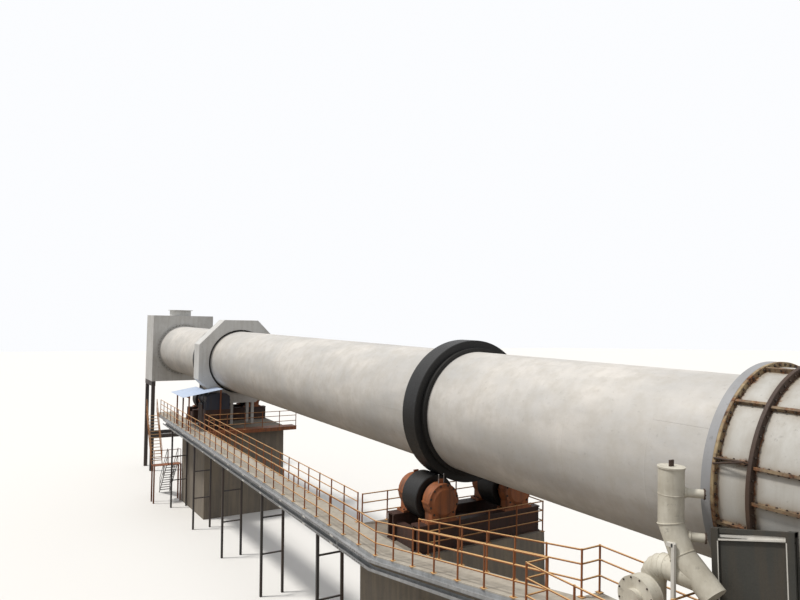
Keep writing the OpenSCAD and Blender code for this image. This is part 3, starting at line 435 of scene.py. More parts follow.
# %% The finishes and their numbers
FINISHES = {
    "shell_paint": dict(
        colour=(0.68, 0.645, 0.60), patch=(0.50, 0.50, 0.495), streak=(0.45, 0.42, 0.37),
        rust=0.08, rough=(0.55, 0.8), streak_by=0.14, speck_by=0.14, mottle_by=0.48,
        broad=(0.40, 0.40, 0.395), broad_by=0.65, low_shade_and_stain=0.12),
    "cast_steel": dict(
        colour=(0.012, 0.0115, 0.011), patch=(0.020, 0.018, 0.016), streak=(0.009, 0.009, 0.009),
        rust=0.05, rough=(0.55, 0.85), metallic=0.2),
    # Orange paint darkened to red-brown as painted shade, for the frames under the rollers and the drive.
    "shade_darkened_orange": dict(
        colour=(0.060, 0.022, 0.013), patch=(0.036, 0.017, 0.012), streak=(0.018, 0.012, 0.010),
        rust=0.16, rough=(0.55, 0.9), streak_by=0.8),
    "rolled_steel": dict(
        colour=(0.010, 0.010, 0.0105), patch=(0.018, 0.0175, 0.017), streak=(0.008, 0.0075, 0.007),
        rust=0.04, rough=(0.42, 0.75), metallic=0.2),
    "orange_paint": dict(
        colour=(0.36, 0.115, 0.035), patch=(0.24, 0.080, 0.033), streak=(0.09, 0.045, 0.028),
        rust=0.32, rough=(0.5, 0.85), streak_by=0.8),
    "concrete": dict(
        colour=(0.24, 0.21, 0.175), patch=(0.15, 0.135, 0.115), streak=(0.32, 0.27, 0.20),
        rust=0.0, rough=(0.85, 0.95), streak_by=0.65, bump=0.004),
    "grey_paint": dict(
        colour=(0.66, 0.66, 0.645), patch=(0.53, 0.53, 0.515), streak=(0.33, 0.30, 0.25),
        rust=0.15, rough=(0.5, 0.8), streak_by=0.25, mottle_by=0.15),
    "duct_paint": dict(
        colour=(0.68, 0.65, 0.56), patch=(0.53, 0.50, 0.415), streak=(0.27, 0.23, 0.165),
        rust=0.15, rough=(0.55, 0.85), streak_by=0.35, mottle_by=0.35),
    "band_grey": dict(
        colour=(0.33, 0.335, 0.35), patch=(0.26, 0.265, 0.275), streak=(0.22, 0.20, 0.18),
        rust=0.12, rough=(0.5, 0.8), streak_by=0.2),
    "navy_paint": dict(
        colour=(0.022, 0.030, 0.055), patch=(0.035, 0.040, 0.058), streak=(0.05, 0.04, 0.035),
        rust=0.15, rough=(0.4, 0.7)),
    # Near black as painted shade, for the hood base and the frames beside the hood.
    "shade_black": dict(
        colour=(0.036, 0.037, 0.034), patch=(0.060, 0.058, 0.050), streak=(0.085, 0.065, 0.045),
        rust=0.16, rough=(0.55, 0.85)),
    "hood_sheet": dict(
        colour=(0.55, 0.54, 0.51), patch=(0.43, 0.425, 0.40), streak=(0.34, 0.31, 0.26),
        rust=0.10, rough=(0.5, 0.8), streak_by=0.4, rust_map="edge_rust"),
    "rusty_steel": dict(
        colour=(0.44, 0.35, 0.20), patch=(0.26, 0.18, 0.10), streak=(0.10, 0.05, 0.03),
        rust=0.49, rough=(0.6, 0.9), streak_by=0.8),
    "rib_rust": dict(
        colour=(0.27, 0.20, 0.12), patch=(0.13, 0.08, 0.045), streak=(0.055, 0.032, 0.022),
        rust=0.46, rough=(0.6, 0.9), streak_by=0.8),
    "ring_brown": dict(
        colour=(0.048, 0.027, 0.019), patch=(0.085, 0.048, 0.028), streak=(0.025, 0.017, 0.013),
        rust=0.26, rough=(0.6, 0.9)),
    "bolt_brown": dict(
        colour=(0.045, 0.030, 0.022), patch=(0.075, 0.045, 0.028), streak=(0.02, 0.015, 0.012),
        rust=0.20, rough=(0.6, 0.9)),
    "floor_plate": dict(
        colour=(0.50, 0.46, 0.39), patch=(0.38, 0.345, 0.29), streak=(0.26, 0.22, 0.17),
        rust=0.12, rough=(0.6, 0.85), streak_by=0.4),
    "pale_edge": dict(
        colour=(0.70, 0.685, 0.64), patch=(0.58, 0.56, 0.52), streak=(0.45, 0.42, 0.37),
        rust=0.06, rough=(0.5, 0.8), streak_by=0.3),
    "roof_sheet": dict(
        colour=(0.51, 0.61, 0.79), patch=(0.57, 0.65, 0.79), streak=(0.39, 0.45, 0.55),
        rust=0.08, rough=(0.35, 0.6)),
    "dark_steel": dict(
        colour=(0.055, 0.055, 0.058), patch=(0.09, 0.085, 0.08), streak=(0.12, 0.07, 0.045),
        rust=0.22, rough=(0.5, 0.8)),
    "galvanised": dict(
        colour=(0.46, 0.47, 0.48), patch=(0.34, 0.35, 0.36), streak=(0.22, 0.22, 0.215),
        rust=0.08, rough=(0.4, 0.65), metallic=0.3),
    "rail_paint": dict(
        colour=(0.33, 0.110, 0.032), patch=(0.24, 0.080, 0.028), streak=(0.13, 0.052, 0.024),
        rust=0.24, rough=(0.5, 0.75), top_light_and_dust=0.8),
}
FINISH = {name: weathered(name, **numbers) for name, numbers in FINISHES.items()}
FINISH["brick"] = bricked("brick", (0.40, 0.26, 0.19), (0.30, 0.20, 0.15), (0.12, 0.09, 0.07))
print("finishes", len(FINISH))

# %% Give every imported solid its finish
OWN_FINISH = {
    # The frames under the rollers and the drive take orange darkened as painted shade.
    "walkway_floor": "floor_plate", "base_frame_1": "shade_darkened_orange", "base_frame_2": "shade_darkened_orange",
    "thrust_bracket": "shade_darkened_orange", "drive_base": "shade_darkened_orange", "reducer": "navy_paint",
    # The hood base takes near black as painted shade.
    "motor": "navy_paint", "hood_base": "shade_black", "stair_upper": "rail_paint",
    "stair_landing": "orange_paint", "stair_lower": "dark_steel", "cooling_fan": "duct_paint",
}
node_slot = {part["node"]: part["material_slot"] for part in frame["record"]["subparts"]}
for node_name, solid in frame["nodes"].items():
    solid.data.materials.clear()
    solid.data.materials.append(FINISH[OWN_FINISH.get(node_name, node_slot[node_name])])
print("solids with a finish of their own", len(OWN_FINISH))

# %% [markdown]
# ## Stage, light and camera
# A pale floor and an even sky show the object without a setting. One soft lamp stands for the
# high sun, so the round shell is bright above and darker below. The floor looks pale to the
# camera but throws back the light of grey-brown ground, as under the real kiln.

# %% Floor and sky
FLOOR_HALF, FLOOR_DROP = 400.0, 0.002
FLOOR_COLOUR = (0.80, 0.79, 0.77)
FLOOR_BOUNCE = (0.20, 0.172, 0.138)
FLOOR_ROUGHNESS = 0.9
SKY_COLOUR = (0.97, 0.98, 1.0, 1.0)
SKY_LIGHT = 0.60

bpy.ops.mesh.primitive_plane_add(size=2 * FLOOR_HALF, location=(0, 0, -FLOOR_DROP))
floor = bpy.context.object
floor.name = "floor"
floor_paint = bpy.data.materials.new("floor_paint")
floor_paint.use_nodes = True
floor_tree = floor_paint.node_tree
floor_shader = floor_tree.nodes["Principled BSDF"]
floor_shader.inputs["Roughness"].default_value = FLOOR_ROUGHNESS
looked_at = floor_tree.nodes.new("ShaderNodeLightPath").outputs["Is Camera Ray"]
floor_shown = mixed(floor_tree, looked_at, FLOOR_BOUNCE, FLOOR_COLOUR)
floor_tree.links.new(floor_shown, floor_shader.inputs["Base Color"])
floor.data.materials.append(floor_paint)

world = bpy.data.worlds.new("sky")
bpy.context.scene.world = world
world.use_nodes = True
sky = world.node_tree
sky.nodes.clear()
rays = sky.nodes.new("ShaderNodeLightPath").outputs
in_gloss_or_glass = maths(sky, "MAXIMUM", rays["Is Glossy Ray"], rays["Is Transmission Ray"])
seen = maths(sky, "MAXIMUM", rays["Is Camera Ray"], in_gloss_or_glass)
level = spread(sky, seen, 0.0, 1.0, SKY_LIGHT, 1.0)
backdrop = add_node(sky, "ShaderNodeBackground", {"Color": SKY_COLOUR, "Strength": level})
sky_out = sky.nodes.new("ShaderNodeOutputWorld")
sky.links.new(backdrop.outputs[0], sky_out.inputs[0])
print("floor", 2 * FLOOR_HALF, "m wide, sky at", SKY_LIGHT)

# %% Lamp and camera
SUN_POWER = 2.5
SUN_COLOUR = (1.0, 0.965, 0.91)
SUN_SOFT_DEG = 8.0
SUN_HIGH_DEG, SUN_ROUND_DEG = 62.0, 115.0
CAMERA_AT = (9.0428, -6.92, 5.6333)
CAMERA_TILT_DEG, CAMERA_TURN_DEG = 93.68, 58.45
CAMERA_LENS_MM, CAMERA_SENSOR_MM = 29.025, 36.0

lamp = bpy.data.lights.new("high_sun", "SUN")
lamp.energy = SUN_POWER
lamp.angle = math.radians(SUN_SOFT_DEG)
lamp.color = SUN_COLOUR
sun = bpy.data.objects.new("high_sun", lamp)
sun.rotation_euler = (0.0, math.radians(90 - SUN_HIGH_DEG), math.radians(-SUN_ROUND_DEG))
bpy.context.scene.collection.objects.link(sun)

eye = bpy.data.cameras.new("photo_view")
eye.lens = CAMERA_LENS_MM
eye.sensor_width = CAMERA_SENSOR_MM
eye.clip_start, eye.clip_end = 0.1, 2000.0
camera = bpy.data.objects.new("photo_view", eye)
camera.location = CAMERA_AT
camera.rotation_euler = (math.radians(CAMERA_TILT_DEG), 0.0, math.radians(CAMERA_TURN_DEG))
bpy.context.scene.collection.objects.link(camera)
bpy.context.scene.camera = camera
bpy.context.scene.view_settings.view_transform = "Standard"
print("camera", CAMERA_AT)

# %% [markdown]
# ## The rolled shell
# A kiln shell is rolled plate, welded into short courses and the courses into a tube. The round
# seams stand a little proud and the plate between them is never quite true. A profile with a
# small hump at each seam is carried round the axis. The radius also swells and shrinks by about
# a millimetre in slow waves, so light runs over it as over real plate.

# %% Shell plates with round seams
COURSE_L = 1.22
SEAM_HALF, SEAM_H = 0.006, 0.0013
SEAM_CLEAR = 4 * SEAM_HALF
SHELL_SIDES = 128
ROWS_A_COURSE = 6
PLATE_WAVE = 0.0006

# Hump of a seam, as shares of its half width and of its height.
SEAM_HUMP = np.array([
    [-3.0, 0.0], [-1.2, 0.0], [-0.6, 0.8], [0.0, 1.0], [0.6, 0.8], [1.2, 0.0], [3.0, 0.0]])

# Each wave has a count of lobes round the shell, a twist in radians for each metre, and a share.
PLATE_WAVES = ((3, 1.7, 1.0), (5, -2.9, 0.6))
DEEPEST_WAVE = PLATE_WAVE * sum(share for _, _, share in PLATE_WAVES)

course_count = int(round((SHELL_HIGH[0] - SHELL_LOW[0]) / COURSE_L))
seam_us = np.linspace(SHELL_LOW[0], SHELL_HIGH[0], course_count + 1)[1:-1]


def shell_profile():
    """(u, r) pairs of the outside: r is the shell radius plus the hump's height at each seam."""
    seams = np.concatenate([[u, 0] + SEAM_HUMP * [SEAM_HALF, SEAM_H] for u in seam_us])
    flat_us = np.linspace(SHELL_LOW[0], SHELL_HIGH[0], course_count * ROWS_A_COURSE + 1)
    flat_us = flat_us[np.min(np.abs(flat_us[:, None] - seam_us), axis=1) > SEAM_CLEAR]
    profile = np.concatenate([seams, np.column_stack([flat_us, np.zeros(len(flat_us))])])
    profile = profile[np.argsort(profile[:, 0])]
    profile[:, 1] += SHELL_R
    return profile


def wavy_plate(profile):
    """Turned points whose radius gains PLATE_WAVE times the sum of share cos(lobes t + twist u)."""
    u, r = profile[:, :1], profile[:, 1:]
    t = full_turn(SHELL_SIDES)
    waves = (share * np.cos(lobes * t + twist * u) for lobes, twist, share in PLATE_WAVES)
    swing = PLATE_WAVE * sum(waves) - DEEPEST_WAVE
    return to_world(round_axis(u, t, r * (1 + swing / SHELL_R)).reshape(-1, 3))


outside = shell_profile()
inside = [(SHELL_HIGH[0], SHELL_IN_R), (SHELL_LOW[0], SHELL_IN_R)]
shell_rows = np.concatenate([wavy_plate(outside), turned(inside, SHELL_SIDES)])
shell_faces = grid_faces(len(outside) + len(inside), SHELL_SIDES, close_rows=True, close_cols=True)
shell_plates = put_mesh("shell_plates", shell_rows, shell_faces, FINISH["shell_paint"],
                        "kiln", "shell_paint", smooth_deg=40)
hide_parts("kiln_shell")

# %% Seams along the shell, one for each course
LONG_SEAM_TURN_DEG, LONG_SEAM_START = 137.5, 0.9
LONG_SEAM_SINK = 0.004


def long_seams():
    """Flat beads along u: a block on the shell for each course, each turned on from the last."""
    edges = np.concatenate([[SHELL_LOW[0]], seam_us, [SHELL_HIGH[0]]])
    ends = np.stack([edges[:-1] + SEAM_HALF, edges[1:] - SEAM_HALF])
    t = np.radians(LONG_SEAM_TURN_DEG) * np.arange(course_count) + LONG_SEAM_START
    sides = np.array([-SEAM_HALF, SEAM_HALF]) / SHELL_R
    skins = np.array([SHELL_R - LONG_SEAM_SINK, SHELL_R + SEAM_H / 2])
    i, j, k = np.array(BOX_STEPS).T
    points = round_axis(ends[i].T, t[:, None] - sides[j], skins[k])
    return to_world(points.reshape(-1, 3)), repeated(BOX_FACES, len(BOX_STEPS), course_count)


put_mesh("shell_long_seams", *long_seams(), FINISH["shell_paint"], "kiln", "shell_paint")

# %% [markdown]
# ## Bolts
# The flanges of the hood, the bearing covers and the fan are held by rows of hexagon bolts.
# One bolt is a six-sided head on a thin washer. Each row is one piece: the bolt's corners are
# repeated at every place, turned to face out of its plate. Linked copies would be lighter, but
# a mesh of its own moves and exports as any other piece does.

# %% Bolt rows on rings
BOLT_R, BOLT_H, BOLT_CHAMFER = 0.0105, 0.011, 0.002
WASHER_R, WASHER_H, WASHER_SIDES = 0.014, 0.003, 10
HEAD_SEAT = 0.9 * WASHER_H

# No bolt faces along this direction, so each head can be turned by it.
SKEW = AXIS + 0.31 * ACROSS + 0.17 * SQUARE


def bolt_shape(size):
    """A washer with a hexagon head that sinks a little into it, both times the size."""
    washer = prism(WASHER_SIDES, WASHER_R * size, WASHER_H * size)
    head, head_faces = prism(6, BOLT_R * size, BOLT_H * size, BOLT_CHAMFER * size)
    return together([washer, (head + [0, 0, HEAD_SEAT * size], head_faces)])


def bolts_at(name, places, normals, slot, size=1.0):
    """One fixed piece of bolts: their places and the ways their heads face, in u, y, w."""
    turns = facing(np.asarray(normals, float) @ KILN, SKEW)
    row = copies(*bolt_shape(size), turns, to_world(places))
    put_mesh(name, *row, FINISH["bolt_brown"], "structure", slot)


def same_way(direction, count):
    """One direction for each of count bolts."""
    return np.tile(direction, (count, 1))


def ring_on_cover(u, y, w, r, t):
    """u, y, w at angle t and distance r from a middle: y gains r cos t and w gains r sin t."""
    return np.stack(np.broadcast_arrays(u, y + r * np.cos(t), w + r * np.sin(t)), axis=-1)


# %% Bolts through the hood's flanges
FLANGE_BOLTS, FLANGE_START = 72, 0.4
SAME_PLANE = 0.002

# The hood's two flanges have four flat faces. Bolts show on three of them, and face along u.
BOLTED_FACES = ((1, 1), (2, -1), (3, 1))

HOOD_R = radii("hood_barrel")[1]
flange_points = to_kiln(corners("hood_flanges"))
flange_us = np.unique(np.round(flange_points[:, 0], 3))
in_plane = [np.abs(flange_points[:, 0] - u) < SAME_PLANE for u in flange_us]
flange_r = [np.linalg.norm(flange_points[near][:, 1:], axis=1).max() for near in in_plane]
t = full_turn(FLANGE_BOLTS, FLANGE_START)
flange_rows = [round_axis(flange_us[face], t, (flange_r[face] + HOOD_R) / 2)
               for face, _ in BOLTED_FACES]
flange_ways = [same_way((side, 0, 0), FLANGE_BOLTS) for _, side in BOLTED_FACES]
bolts_at("hood_flange_bolts", np.concatenate(flange_rows), np.concatenate(flange_ways),
         "rusty_steel")
print("flanges at", flange_us, "radii", np.round(flange_r, 3))

# %% [markdown]
# ## Plates with two faces
# A sheet that is seen from both sides needs a thickness. The helper takes the grid of its outer
# face and the grid of its inner face, and closes them with a wall along the border.

# %% Close two grids into a plate


def plate_between(outer, inner):
    """Closed plate: the outer grid's faces, the inner grid's turned over, and a wall round both."""
    rows, cols = outer.shape[:2]
    count = rows * cols
    face = grid_faces(rows, cols)
    index = np.arange(count).reshape(rows, cols)
    border = [index[0, :-1], index[:-1, -1], index[-1, :0:-1], index[:0:-1, 0]]
    border = np.concatenate(border)
    onward = np.roll(border, -1)
    wall = np.stack([onward, border, border + count, onward + count], axis=1)
    points = np.concatenate([outer.reshape(-1, 3), inner.reshape(-1, 3)])
    return points, np.concatenate([face, face[:, ::-1] + count, wall])


def add_number(piece, name, values):
    """Stores one number for each vertex, for the material to read."""
    layer = piece.data.attributes.new(name, "FLOAT", "POINT")
    layer.data.foreach_set("value", np.asarray(values, np.float32))


# %% [markdown]
# ## The hood's skin
# The hood is a fixed drum of sheet in front of the turning shell. Rain sits on its flanges and
# ribs, so the rust starts there and runs on to the sheet. The skin's grid is fine enough to store
# a number at each point: how near the next flange or rib is. The paint reads it and lets rust
# through where it is high. A painted picture could do this too, but it would fit one size only.

# %% Hood skin with rust along its edges
HOOD_SHEET = 0.008
EDGE_REACH = 0.050
EDGE_RUST = 0.52
RING_COLS, THROAT_COLS = 361, 300
FRONT_ROWS, BORDER_ROWS, THROAT_ROWS = 22, 6, 60

# Angles of the ribs from the top, in degrees: even in front, closer together at the sides behind.
front_ribs = np.arange(15.0, 360.0, 30.0)
back_ribs = np.array([-92.0, -76.5, -46.5, -16.5, 16.5, 46.5, 76.5, 92.0])
hood_end_u = kiln_box("hood_barrel")[1][0]
edge_us = np.array([*flange_us[1:4], hood_end_u])
print("ribs", len(front_ribs), "in front and", len(back_ribs), "behind")


def nearness(u, deg, rib_degs):
    """exp(-distance / reach) to the next ring or rib: 1 on the edge and 0 far from it."""
    to_ring = np.min(np.abs(u[..., None] - edge_us), axis=-1)
    apart = (deg[..., None] - rib_degs + 180) % 360 - 180
    to_rib = np.min(np.radians(np.abs(apart)), axis=-1) * HOOD_R
    return np.exp(-np.minimum(to_ring, to_rib) / EDGE_REACH)


def hood_course(us, degs, rib_degs, rows, cols):
    """One curved sheet of the hood, and how near each point of its two faces is to an edge."""
    u, deg = np.meshgrid(np.linspace(*us, rows), np.linspace(*degs, cols), indexing="ij")
    t = np.radians(deg)
    faces = [to_world(round_axis(u, t, r)) for r in (HOOD_R, HOOD_R - HOOD_SHEET)]
    return plate_between(*faces), np.tile(nearness(u, deg, rib_degs).ravel(), 2)


# The throat leaves the drum open below, so the sheet between its ends isn't a whole turn.
throat_low, throat_high = kiln_box("hood_throat")
throat_deg = math.degrees(math.asin(throat_high[1] / HOOD_R))
opens_u, closes_u = throat_low[0] + HOOD_SHEET, throat_high[0] - HOOD_SHEET
whole, above_throat = (-180, 180), (throat_deg - 180, 180 - throat_deg)
hood_courses = [
    hood_course((flange_us[1], flange_us[2]), whole, front_ribs, FRONT_ROWS, RING_COLS),
    hood_course((flange_us[3], opens_u), whole, back_ribs, BORDER_ROWS, RING_COLS),
    hood_course((opens_u, closes_u), above_throat, back_ribs, THROAT_ROWS, THROAT_COLS),
    hood_course((closes_u, hood_end_u), whole, back_ribs, BORDER_ROWS, RING_COLS),
]
skin_sheets = together([sheet for sheet, _ in hood_courses])
hood_skin = put_mesh("hood_skin", *skin_sheets, FINISH["hood_sheet"],
                     "structure", "grey_paint", smooth_deg=30)
add_number(hood_skin, "edge_rust", EDGE_RUST * np.concatenate([near for _, near in hood_courses]))
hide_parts("hood_barrel")

# %% Ribs and their bolts
RIB_H = radii("hood_ribs")[1] - HOOD_R
RIB_HALF_T, RIB_SINK = 0.014, 0.001
RIB_BOLT_PITCH, RIB_BOLT_RISE, RIB_BOLT_SIZE = 0.085, 0.55 * RIB_H, 0.85


def rib_bars(degs, u_from, u_to):
    """Bars along u at each angle: one block whose third direction points away from the axis."""
    rise = round_axis(0.0, np.radians(degs), 1.0) @ KILN
    turns = np.stack([np.broadcast_to(AXIS, rise.shape), np.cross(rise, AXIS), rise], axis=1)
    low = (u_from, -RIB_HALF_T, HOOD_R - RIB_SINK)
    high = (u_to, RIB_HALF_T, HOOD_R + RIB_H)
    return copies(box_corners(low, high), BOX_FACES, turns, same_way(ON_AXIS, len(rise)))


def rib_bolts(name, degs, u_from, u_to):
    """Bolts through each rib: rows along u at mid height, facing out of both sides of the rib."""
    count = int((u_to - u_from) / RIB_BOLT_PITCH)
    u = np.linspace(u_from + RIB_BOLT_PITCH / 2, u_to - RIB_BOLT_PITCH / 2, count)
    u, t, side = (a.ravel() for a in np.meshgrid(u, np.radians(degs), (-1.0, 1.0), indexing="ij"))
    tangent = round_axis(0.0, t + math.pi / 2, 1.0) * side[:, None]
    places = round_axis(u, t, HOOD_R + RIB_BOLT_RISE) + tangent * RIB_HALF_T
    bolts_at(name, places, tangent, "rusty_steel", RIB_BOLT_SIZE)


front_span, back_span = (flange_us[1], flange_us[2]), (flange_us[3], hood_end_u)
rib_parts = together([rib_bars(front_ribs, *front_span), rib_bars(back_ribs, *back_span)])
rib_piece = put_mesh("hood_rib_bars", *rib_parts, FINISH["rib_rust"], "structure", "rusty_steel")
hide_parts("hood_ribs")
rib_bolts("hood_front_rib_bolts", front_ribs, *front_span)
rib_bolts("hood_back_rib_bolts", back_ribs, *back_span)

# %% [markdown]
# ## The hood's rings and seal
# Two bolted rings hold the hood together. Each is a turned profile with its edges sloped a
# little, as a torch-cut ring is dressed. The front ring keeps some of its yellow paint, and the
# second is brown. A band of grey sheet in front of them covers the seal against the shell.

# %% Rings and seal band
RING_EDGE = 0.003
RING_SIDES = 144
BAND_GAP = RING_EDGE / 4


def turned_ring(low_u, high_u, outer, inner):
    """Closed ring: the outer face from low to high u with sloped edges, then the inner face."""
    profile = [(low_u, outer - RING_EDGE), (low_u + RING_EDGE, outer),
               (high_u - RING_EDGE, outer), (high_u, outer - RING_EDGE),
               (high_u, inner), (low_u, inner)]
    faces = grid_faces(len(profile), RING_SIDES, close_rows=True, close_cols=True)
    return turned(profile, RING_SIDES), faces


ring_in = radii("hood_flanges")[0]
for name, face, finish in (("hood_ring_front", 0, "rusty_steel"),
                           ("hood_ring_back", 2, "ring_brown")):
    ring_shape = turned_ring(flange_us[face], flange_us[face + 1], flange_r[face], ring_in)
    ring = put_mesh(name, *ring_shape, FINISH[finish], "structure", "rusty_steel", smooth_deg=25)
    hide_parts("hood_flanges")
seal_low, seal_high = kiln_box("hood_seal")
band_shape = turned_ring(seal_low[0], seal_high[0] - BAND_GAP,
                         flange_r[0] - RING_EDGE, radii("hood_seal")[0])
seal_band = put_mesh("seal_band", *band_shape, FINISH["band_grey"],
                     "structure", "grey_paint", smooth_deg=25)
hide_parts("hood_seal")

# %% [markdown]
# ## Round bars and bands
# Pipes, rods and weld beads are all a circle carried along a line. The path may bend: at each
# point the circle stands square to the mean of the two directions that meet there.

# %% Tubes along a path
BEAD_AT = np.array([-0.5, -0.3, 0.3, 0.5])
BEAD_SINK = 0.001
NEARLY_ALONG = 0.9


def tube(path, radius, sides):
    """Round bar: a point of a ring is the path's point plus radius (first cos t + second sin t)."""
    path = np.asarray(path, float)
    step = np.diff(path, axis=0)
    step /= np.linalg.norm(step, axis=1, keepdims=True)
    along = np.concatenate([step[:1], step[:-1] + step[1:], step[-1:]])
    along /= np.linalg.norm(along, axis=1, keepdims=True)
    lies_across = abs(along[:, 1]).max() >= NEARLY_ALONG
    first = np.cross((0.0, 0.0, 1.0) if lies_across else ACROSS, along)
    first /= np.linalg.norm(first, axis=1, keepdims=True)
    second = np.cross(along, first)
    t = full_turn(sides)[None, :, None]
    radius = np.broadcast_to(radius, len(path))[:, None, None]
    rings = path[:, None] + radius * (first[:, None] * np.cos(t) + second[:, None] * np.sin(t))
    return rings.reshape(-1, 3), capped_faces(len(path), sides)


def bead(centre, direction, radius, width=0.012, rise=0.004, sides=48):
    """Low round band on a pipe: a short tube whose radius rises and falls over its width."""
    direction = np.asarray(direction, float) / np.linalg.norm(direction)
    path = to_world(np.asarray(centre) + BEAD_AT[:, None] * width * direction)
    return tube(path, radius + np.array([-BEAD_SINK, rise, rise, -BEAD_SINK]), sides)


def boxes_between(pairs):
    """Blocks square to the kiln, each between a low and a high point in u, y, w."""
    return together([(to_world(box_corners(low, high)), BOX_FACES) for low, high in pairs])


print("a tube of two points has", len(tube([(0, 0, 0), (1, 0, 0)], 0.1, 12)[1]), "faces")

# %% [markdown]
# ## The cooling-air duct
# The duct is rolled sheet, welded at every bend, with a bolted flange on each branch. It is a
# circle carried along its centre line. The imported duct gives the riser's place and radius. The
# line below it, the two turned branches and the elbow down to the fan are drawn from there. A
# bevelled curve would do for the pipe alone, but here welds and collars share its centre line.

# %% Duct, elbow and welds
DUCT_SIDES = 48
LUG_H, CAP_T, CAP_RIM = 0.060, 0.014, 0.008

# The pipe's line from its first bend down: how far along u from the riser, and at what w.
LEG_LINE = ((0.0, -0.330), (0.127, -0.602), (0.449, -0.872))
ELBOW_START, ELBOW_W, ELBOW_BEND = 0.30, -0.757, 0.170
ELBOW_SHIFT, ELBOW_FOOT, ELBOW_STEP_DEG = -0.187, -1.150, 15
FOOT_RIM, FOOT_SINK = 0.020, 0.001
RISER_SEAM_W, SEAM_RISE = -0.06, 0.002
ELBOW_SEAM_L, ELBOW_SEAM_RISE = 0.010, 0.003
MITRE_SPREAD = 1.03

duct_points = to_kiln(corners("cooling_duct"))
cap_w = duct_points[:, 2].max() - LUG_H
cap_points = duct_points[np.abs(duct_points[:, 2] - cap_w + CAP_T / 2) < CAP_T]
cap_low, cap_high = cap_points.min(0), cap_points.max(0)
DUCT_U, DUCT_Y = (cap_high[:2] + cap_low[:2]) / 2
DUCT_R = (cap_high[0] - cap_low[0]) / 2 - CAP_RIM


def duct_place(du, w):
    """u, y, w on the duct's upright plane: du along the axis from the riser, at height w."""
    return np.array([DUCT_U + du, DUCT_Y, w])


def elbow_place(a):
    """Centre line of the bend: a quarter circle of radius ELBOW_BEND, for a from 0 to pi / 2."""
    return duct_place(ELBOW_SHIFT + ELBOW_BEND * (1 - math.sin(a)),
                      ELBOW_W - ELBOW_BEND * (1 - math.cos(a)))


def bends(line):
    """Each inner point of a line with the one before it and the one after it."""
    return zip(line[:-2], line[1:-1], line[2:])


leg = [duct_place(0.0, cap_w - CAP_T)] + [duct_place(*q) for q in LEG_LINE]
elbow = [duct_place(ELBOW_START, ELBOW_W)]
elbow += [elbow_place(a) for a in np.radians(np.arange(0, 91, ELBOW_STEP_DEG))]
elbow.append(duct_place(ELBOW_SHIFT, ELBOW_FOOT))
cap = [duct_place(0.0, cap_w - CAP_T), duct_place(0.0, cap_w)]
foot = [duct_place(ELBOW_SHIFT, ELBOW_FOOT + rise) for rise in (-FOOT_SINK, CAP_T)]
duct_parts = [tube(to_world(line), DUCT_R + rim, DUCT_SIDES)
              for line, rim in ((leg, 0.0), (elbow, 0.0), (cap, CAP_RIM), (foot, FOOT_RIM))]
for before, at, after in bends(elbow):
    duct_parts.append(bead(at, after - before, DUCT_R, ELBOW_SEAM_L, ELBOW_SEAM_RISE))
for before, at, after in bends(leg):
    to_before, to_after = ((q - at) / np.linalg.norm(q - at) for q in (before, after))
    duct_parts.append(bead(at, to_after - to_before, DUCT_R * MITRE_SPREAD))
duct_parts.append(bead(duct_place(0.0, RISER_SEAM_W), (0, 0, -1), DUCT_R, rise=SEAM_RISE))
print("duct at", round(DUCT_U, 3), round(DUCT_Y, 3), "radius", round(DUCT_R, 4))

# %% Branches with dark flanges
# Each branch leaves the duct at its own u and w, and has its own length.
BRANCHES = ((0.0, -0.036, 0.290), (0.048, -0.434, 0.262))
BRANCH_DEG, BRANCH_R, BRANCH_SIDES = 40.0, 0.042, 32
COLLAR_L, COLLAR_RISE, COLLAR_OUT = 0.03, 0.010, 0.004
BLIND_R, BLIND_T, BLIND_BACK = 0.052, 0.004, 0.008
BLIND_BOLTS, BLIND_BOLT_R, BLIND_BOLT_SIZE = 6, 0.041, 0.5

branch_turn = math.radians(BRANCH_DEG)
out = np.array([math.cos(branch_turn), math.sin(branch_turn), 0.0])
side = np.array([-out[1], out[0], 0.0])
up = np.array([0.0, 0.0, 1.0])
t = full_turn(BLIND_BOLTS)[:, None]
bolt_ring = BLIND_BOLT_R * (np.cos(t) * side + np.sin(t) * up)
blinds, blind_bolts = [], []
for du, w, length in BRANCHES:
    root = duct_place(du, w)
    face = root + out * length
    duct_parts.append(tube(to_world([root, face]), BRANCH_R, BRANCH_SIDES))
    duct_parts.append(bead(root + out * (DUCT_R + COLLAR_OUT), out, BRANCH_R,
                           COLLAR_L, COLLAR_RISE, BRANCH_SIDES))
    plate = to_world([face - out * BLIND_BACK, face + out * BLIND_T])
    blinds.append(tube(plate, BLIND_R, BRANCH_SIDES))
    blind_bolts.append(face + out * BLIND_T + bolt_ring)
duct = put_mesh("duct_sheet", *together(duct_parts), FINISH["duct_paint"],
                "structure", "grey_paint", smooth_deg=35)
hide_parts("cooling_duct")
put_mesh("branch_blinds", *together(blinds), FINISH["ring_brown"],
         "structure", "grey_paint", smooth_deg=30)
blind_bolts = np.concatenate(blind_bolts)
bolts_at("branch_bolts", blind_bolts, same_way(out, len(blind_bolts)), "rusty_steel",
         BLIND_BOLT_SIZE)

# %% Lug on the cap and the duct's thin leg
LUG_T, LUG_L = 0.016, 0.060
POST_B, POST_U, POST_TOP, POST_GAP = 0.034, 0.115, -0.470, 0.004
BRACE_U = 0.060

